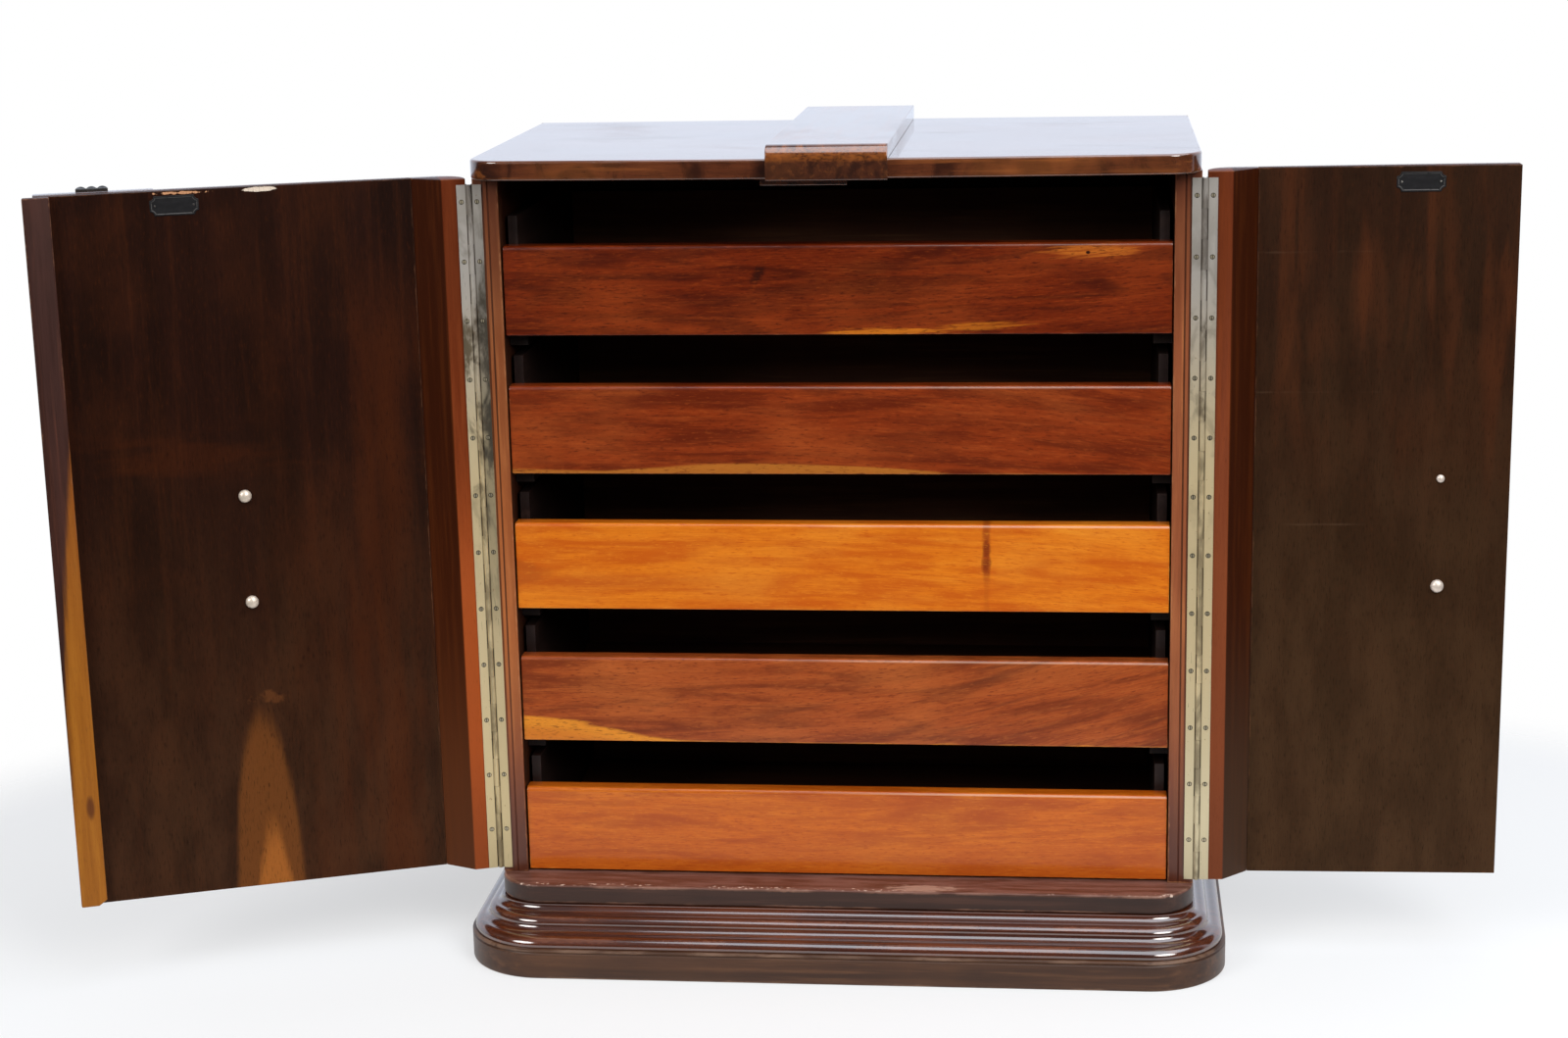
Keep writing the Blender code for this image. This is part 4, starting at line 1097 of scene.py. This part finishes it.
# Stage: pale floor, white surroundings, soft lamps and the camera
stageSizes = dict(
    across=1.15, deep=0.80, tone=0.80, fade=(0.62, 0.97), glow=0.55, below=0.0002, steps=96,
    rings=(0.02, 0.25, 0.5, 0.75, 1.0))
worldLook = dict(front=0.03, behind=0.91, above=0.12, tint=(0.865, 0.93, 1.07, 1.0))
white = (1.0, 1.0, 1.0, 1.0)
lampSet = (      # place, aim, size, watts, tone
    ((1.6, -2.3, 1.9), (0.0, 0.0, 0.35), 1.5, 53, (1.0, 0.985, 0.96)),
    ((-1.8, -2.2, 1.8), (0.0, 0.0, 0.35), 1.5, 47, (1.0, 0.985, 0.97)),
    ((0.75, -0.55, 2.2), (0.55, -0.25, 0.0), 2.6, 44, (0.86, 0.92, 1.0)),
)
view = dict(
    place=(0.2103, -2.4038, 0.9455), lens=63.35, sensor=36.0, clip=(0.05, 50.0), down=13.43, left=6.40,
    roll=-1.27)


def rayKinds(w):
    # whether a ray comes from the camera, off a gloss or through glass
    kinds = ("Camera", "Glossy", "Transmission")
    return (w.node("ShaderNodeLightPath", out=f"Is {kind} Ray") for kind in kinds)


def makeFloor(s):
    # oval worked out ring by ring, flat at the object's foot and fading into the white around it
    steps, shade = s["steps"], s["tone"]
    t = np.linspace(0, 2 * math.pi, steps, endpoint=False)
    share = np.array(s["rings"])[:, None]
    points = rows(share * s["across"] * np.cos(t), share * s["deep"] * np.sin(t), -s["below"]).reshape(-1, 3)
    quads = ringQuads(len(share), steps)[:, ::-1].tolist()
    mesh = bpy.data.meshes.new("floor")
    mesh.from_pydata(points.tolist(), [], quads + [list(range(steps))])
    floor = bpy.data.objects.new("floor", mesh)
    bpy.context.scene.collection.objects.link(floor)
    material, w, shader = newFinish("paleFloor", {})
    material.node_tree.nodes.remove(shader)
    camera, glossy, through = rayKinds(w)
    seen = camera.most(glossy).most(through)
    plain = w.node("ShaderNodeBsdfDiffuse", None, {"Color": (shade, shade, shade, 1)})
    glow = w.node("ShaderNodeEmission", None, {"Color": white, "Strength": 1.0})
    lit = w.node("ShaderNodeMixShader", None, {0: seen * s["glow"], 1: plain, 2: glow})
    x, y, _ = w.metres().parts()
    far = ((x / s["across"]) ** 2.0 + (y / s["deep"]) ** 2.0).rise(*s["fade"])
    clear = w.node("ShaderNodeBsdfTransparent")
    faded = w.node("ShaderNodeMixShader", None, {0: far, 1: lit, 2: clear})
    w.feed(material.node_tree.nodes["Material Output"], {"Surface": faded})
    mesh.materials.append(material)


def makeSurroundings(s):
    # white to the camera, and behind the object to its reflections too; to the object, dimmer in front
    world = bpy.data.worlds.new("surroundings")
    bpy.context.scene.world = world
    world.use_nodes = True
    w = Wire(world.node_tree)
    camera, glossy, through = rayKinds(w)
    _, y, z = w.node("ShaderNodeTexCoord", out=0).parts()
    behind = y.rise(-0.05, 0.45) * z.rise(0.95, 0.55)
    level = s["front"] + behind * s["behind"] + z.rise(0.35, 0.95) * s["above"]
    seen = camera.most(glossy.most(through) * behind)
    w.feed(world.node_tree.nodes["Background"], {"Color": camera.mix(s["tint"], white),
                                                 "Strength": seen + (1.0 - seen) * level})


def setDown(data, place, right, up, back):
    # lamp or camera at a place, turned so that these are its own axes
    holder = bpy.data.objects.new(data.name, data)
    holder.matrix_world = Matrix.Translation(place) @ Matrix(rows(right, up, back).tolist()).to_4x4()
    bpy.context.scene.collection.objects.link(holder)
    return holder


def makeLamps(lamps):
    for number, (place, aim, size, watts, colour) in enumerate(lamps):
        lamp = bpy.data.lights.new(f"softBox{number + 1}", "AREA")
        lamp.shape = "DISK"
        lamp.size, lamp.energy, lamp.color = size, watts, colour
        back = unit(np.array(place) - np.array(aim))
        right = unit(np.cross((0, 0, 1), back))
        setDown(lamp, place, right, np.cross(back, right), back).visible_camera = False


def makeCamera(s):
    # looking ahead turned left and down, then rolled about the line of sight
    a, b, c = (math.radians(s[key]) for key in ("down", "left", "roll"))
    ahead = np.array((-math.sin(b) * math.cos(a), math.cos(b) * math.cos(a), -math.sin(a)))
    right = np.array((math.cos(b), math.sin(b), 0.0))
    up = np.cross(right, ahead)
    right, up = right * math.cos(c) + up * math.sin(c), up * math.cos(c) - right * math.sin(c)
    lens = bpy.data.cameras.new("camera")
    lens.lens, lens.sensor_width, lens.sensor_fit = s["lens"], s["sensor"], "HORIZONTAL"
    lens.clip_start, lens.clip_end = s["clip"]
    bpy.context.scene.camera = setDown(lens, s["place"], right, up, -ahead)


makeFloor(stageSizes)
makeSurroundings(worldLook)
makeLamps(lampSet)
makeCamera(view)
bpy.context.scene.view_settings.view_transform = "Standard"
print("stage set")

bpy.context.view_layer.update()
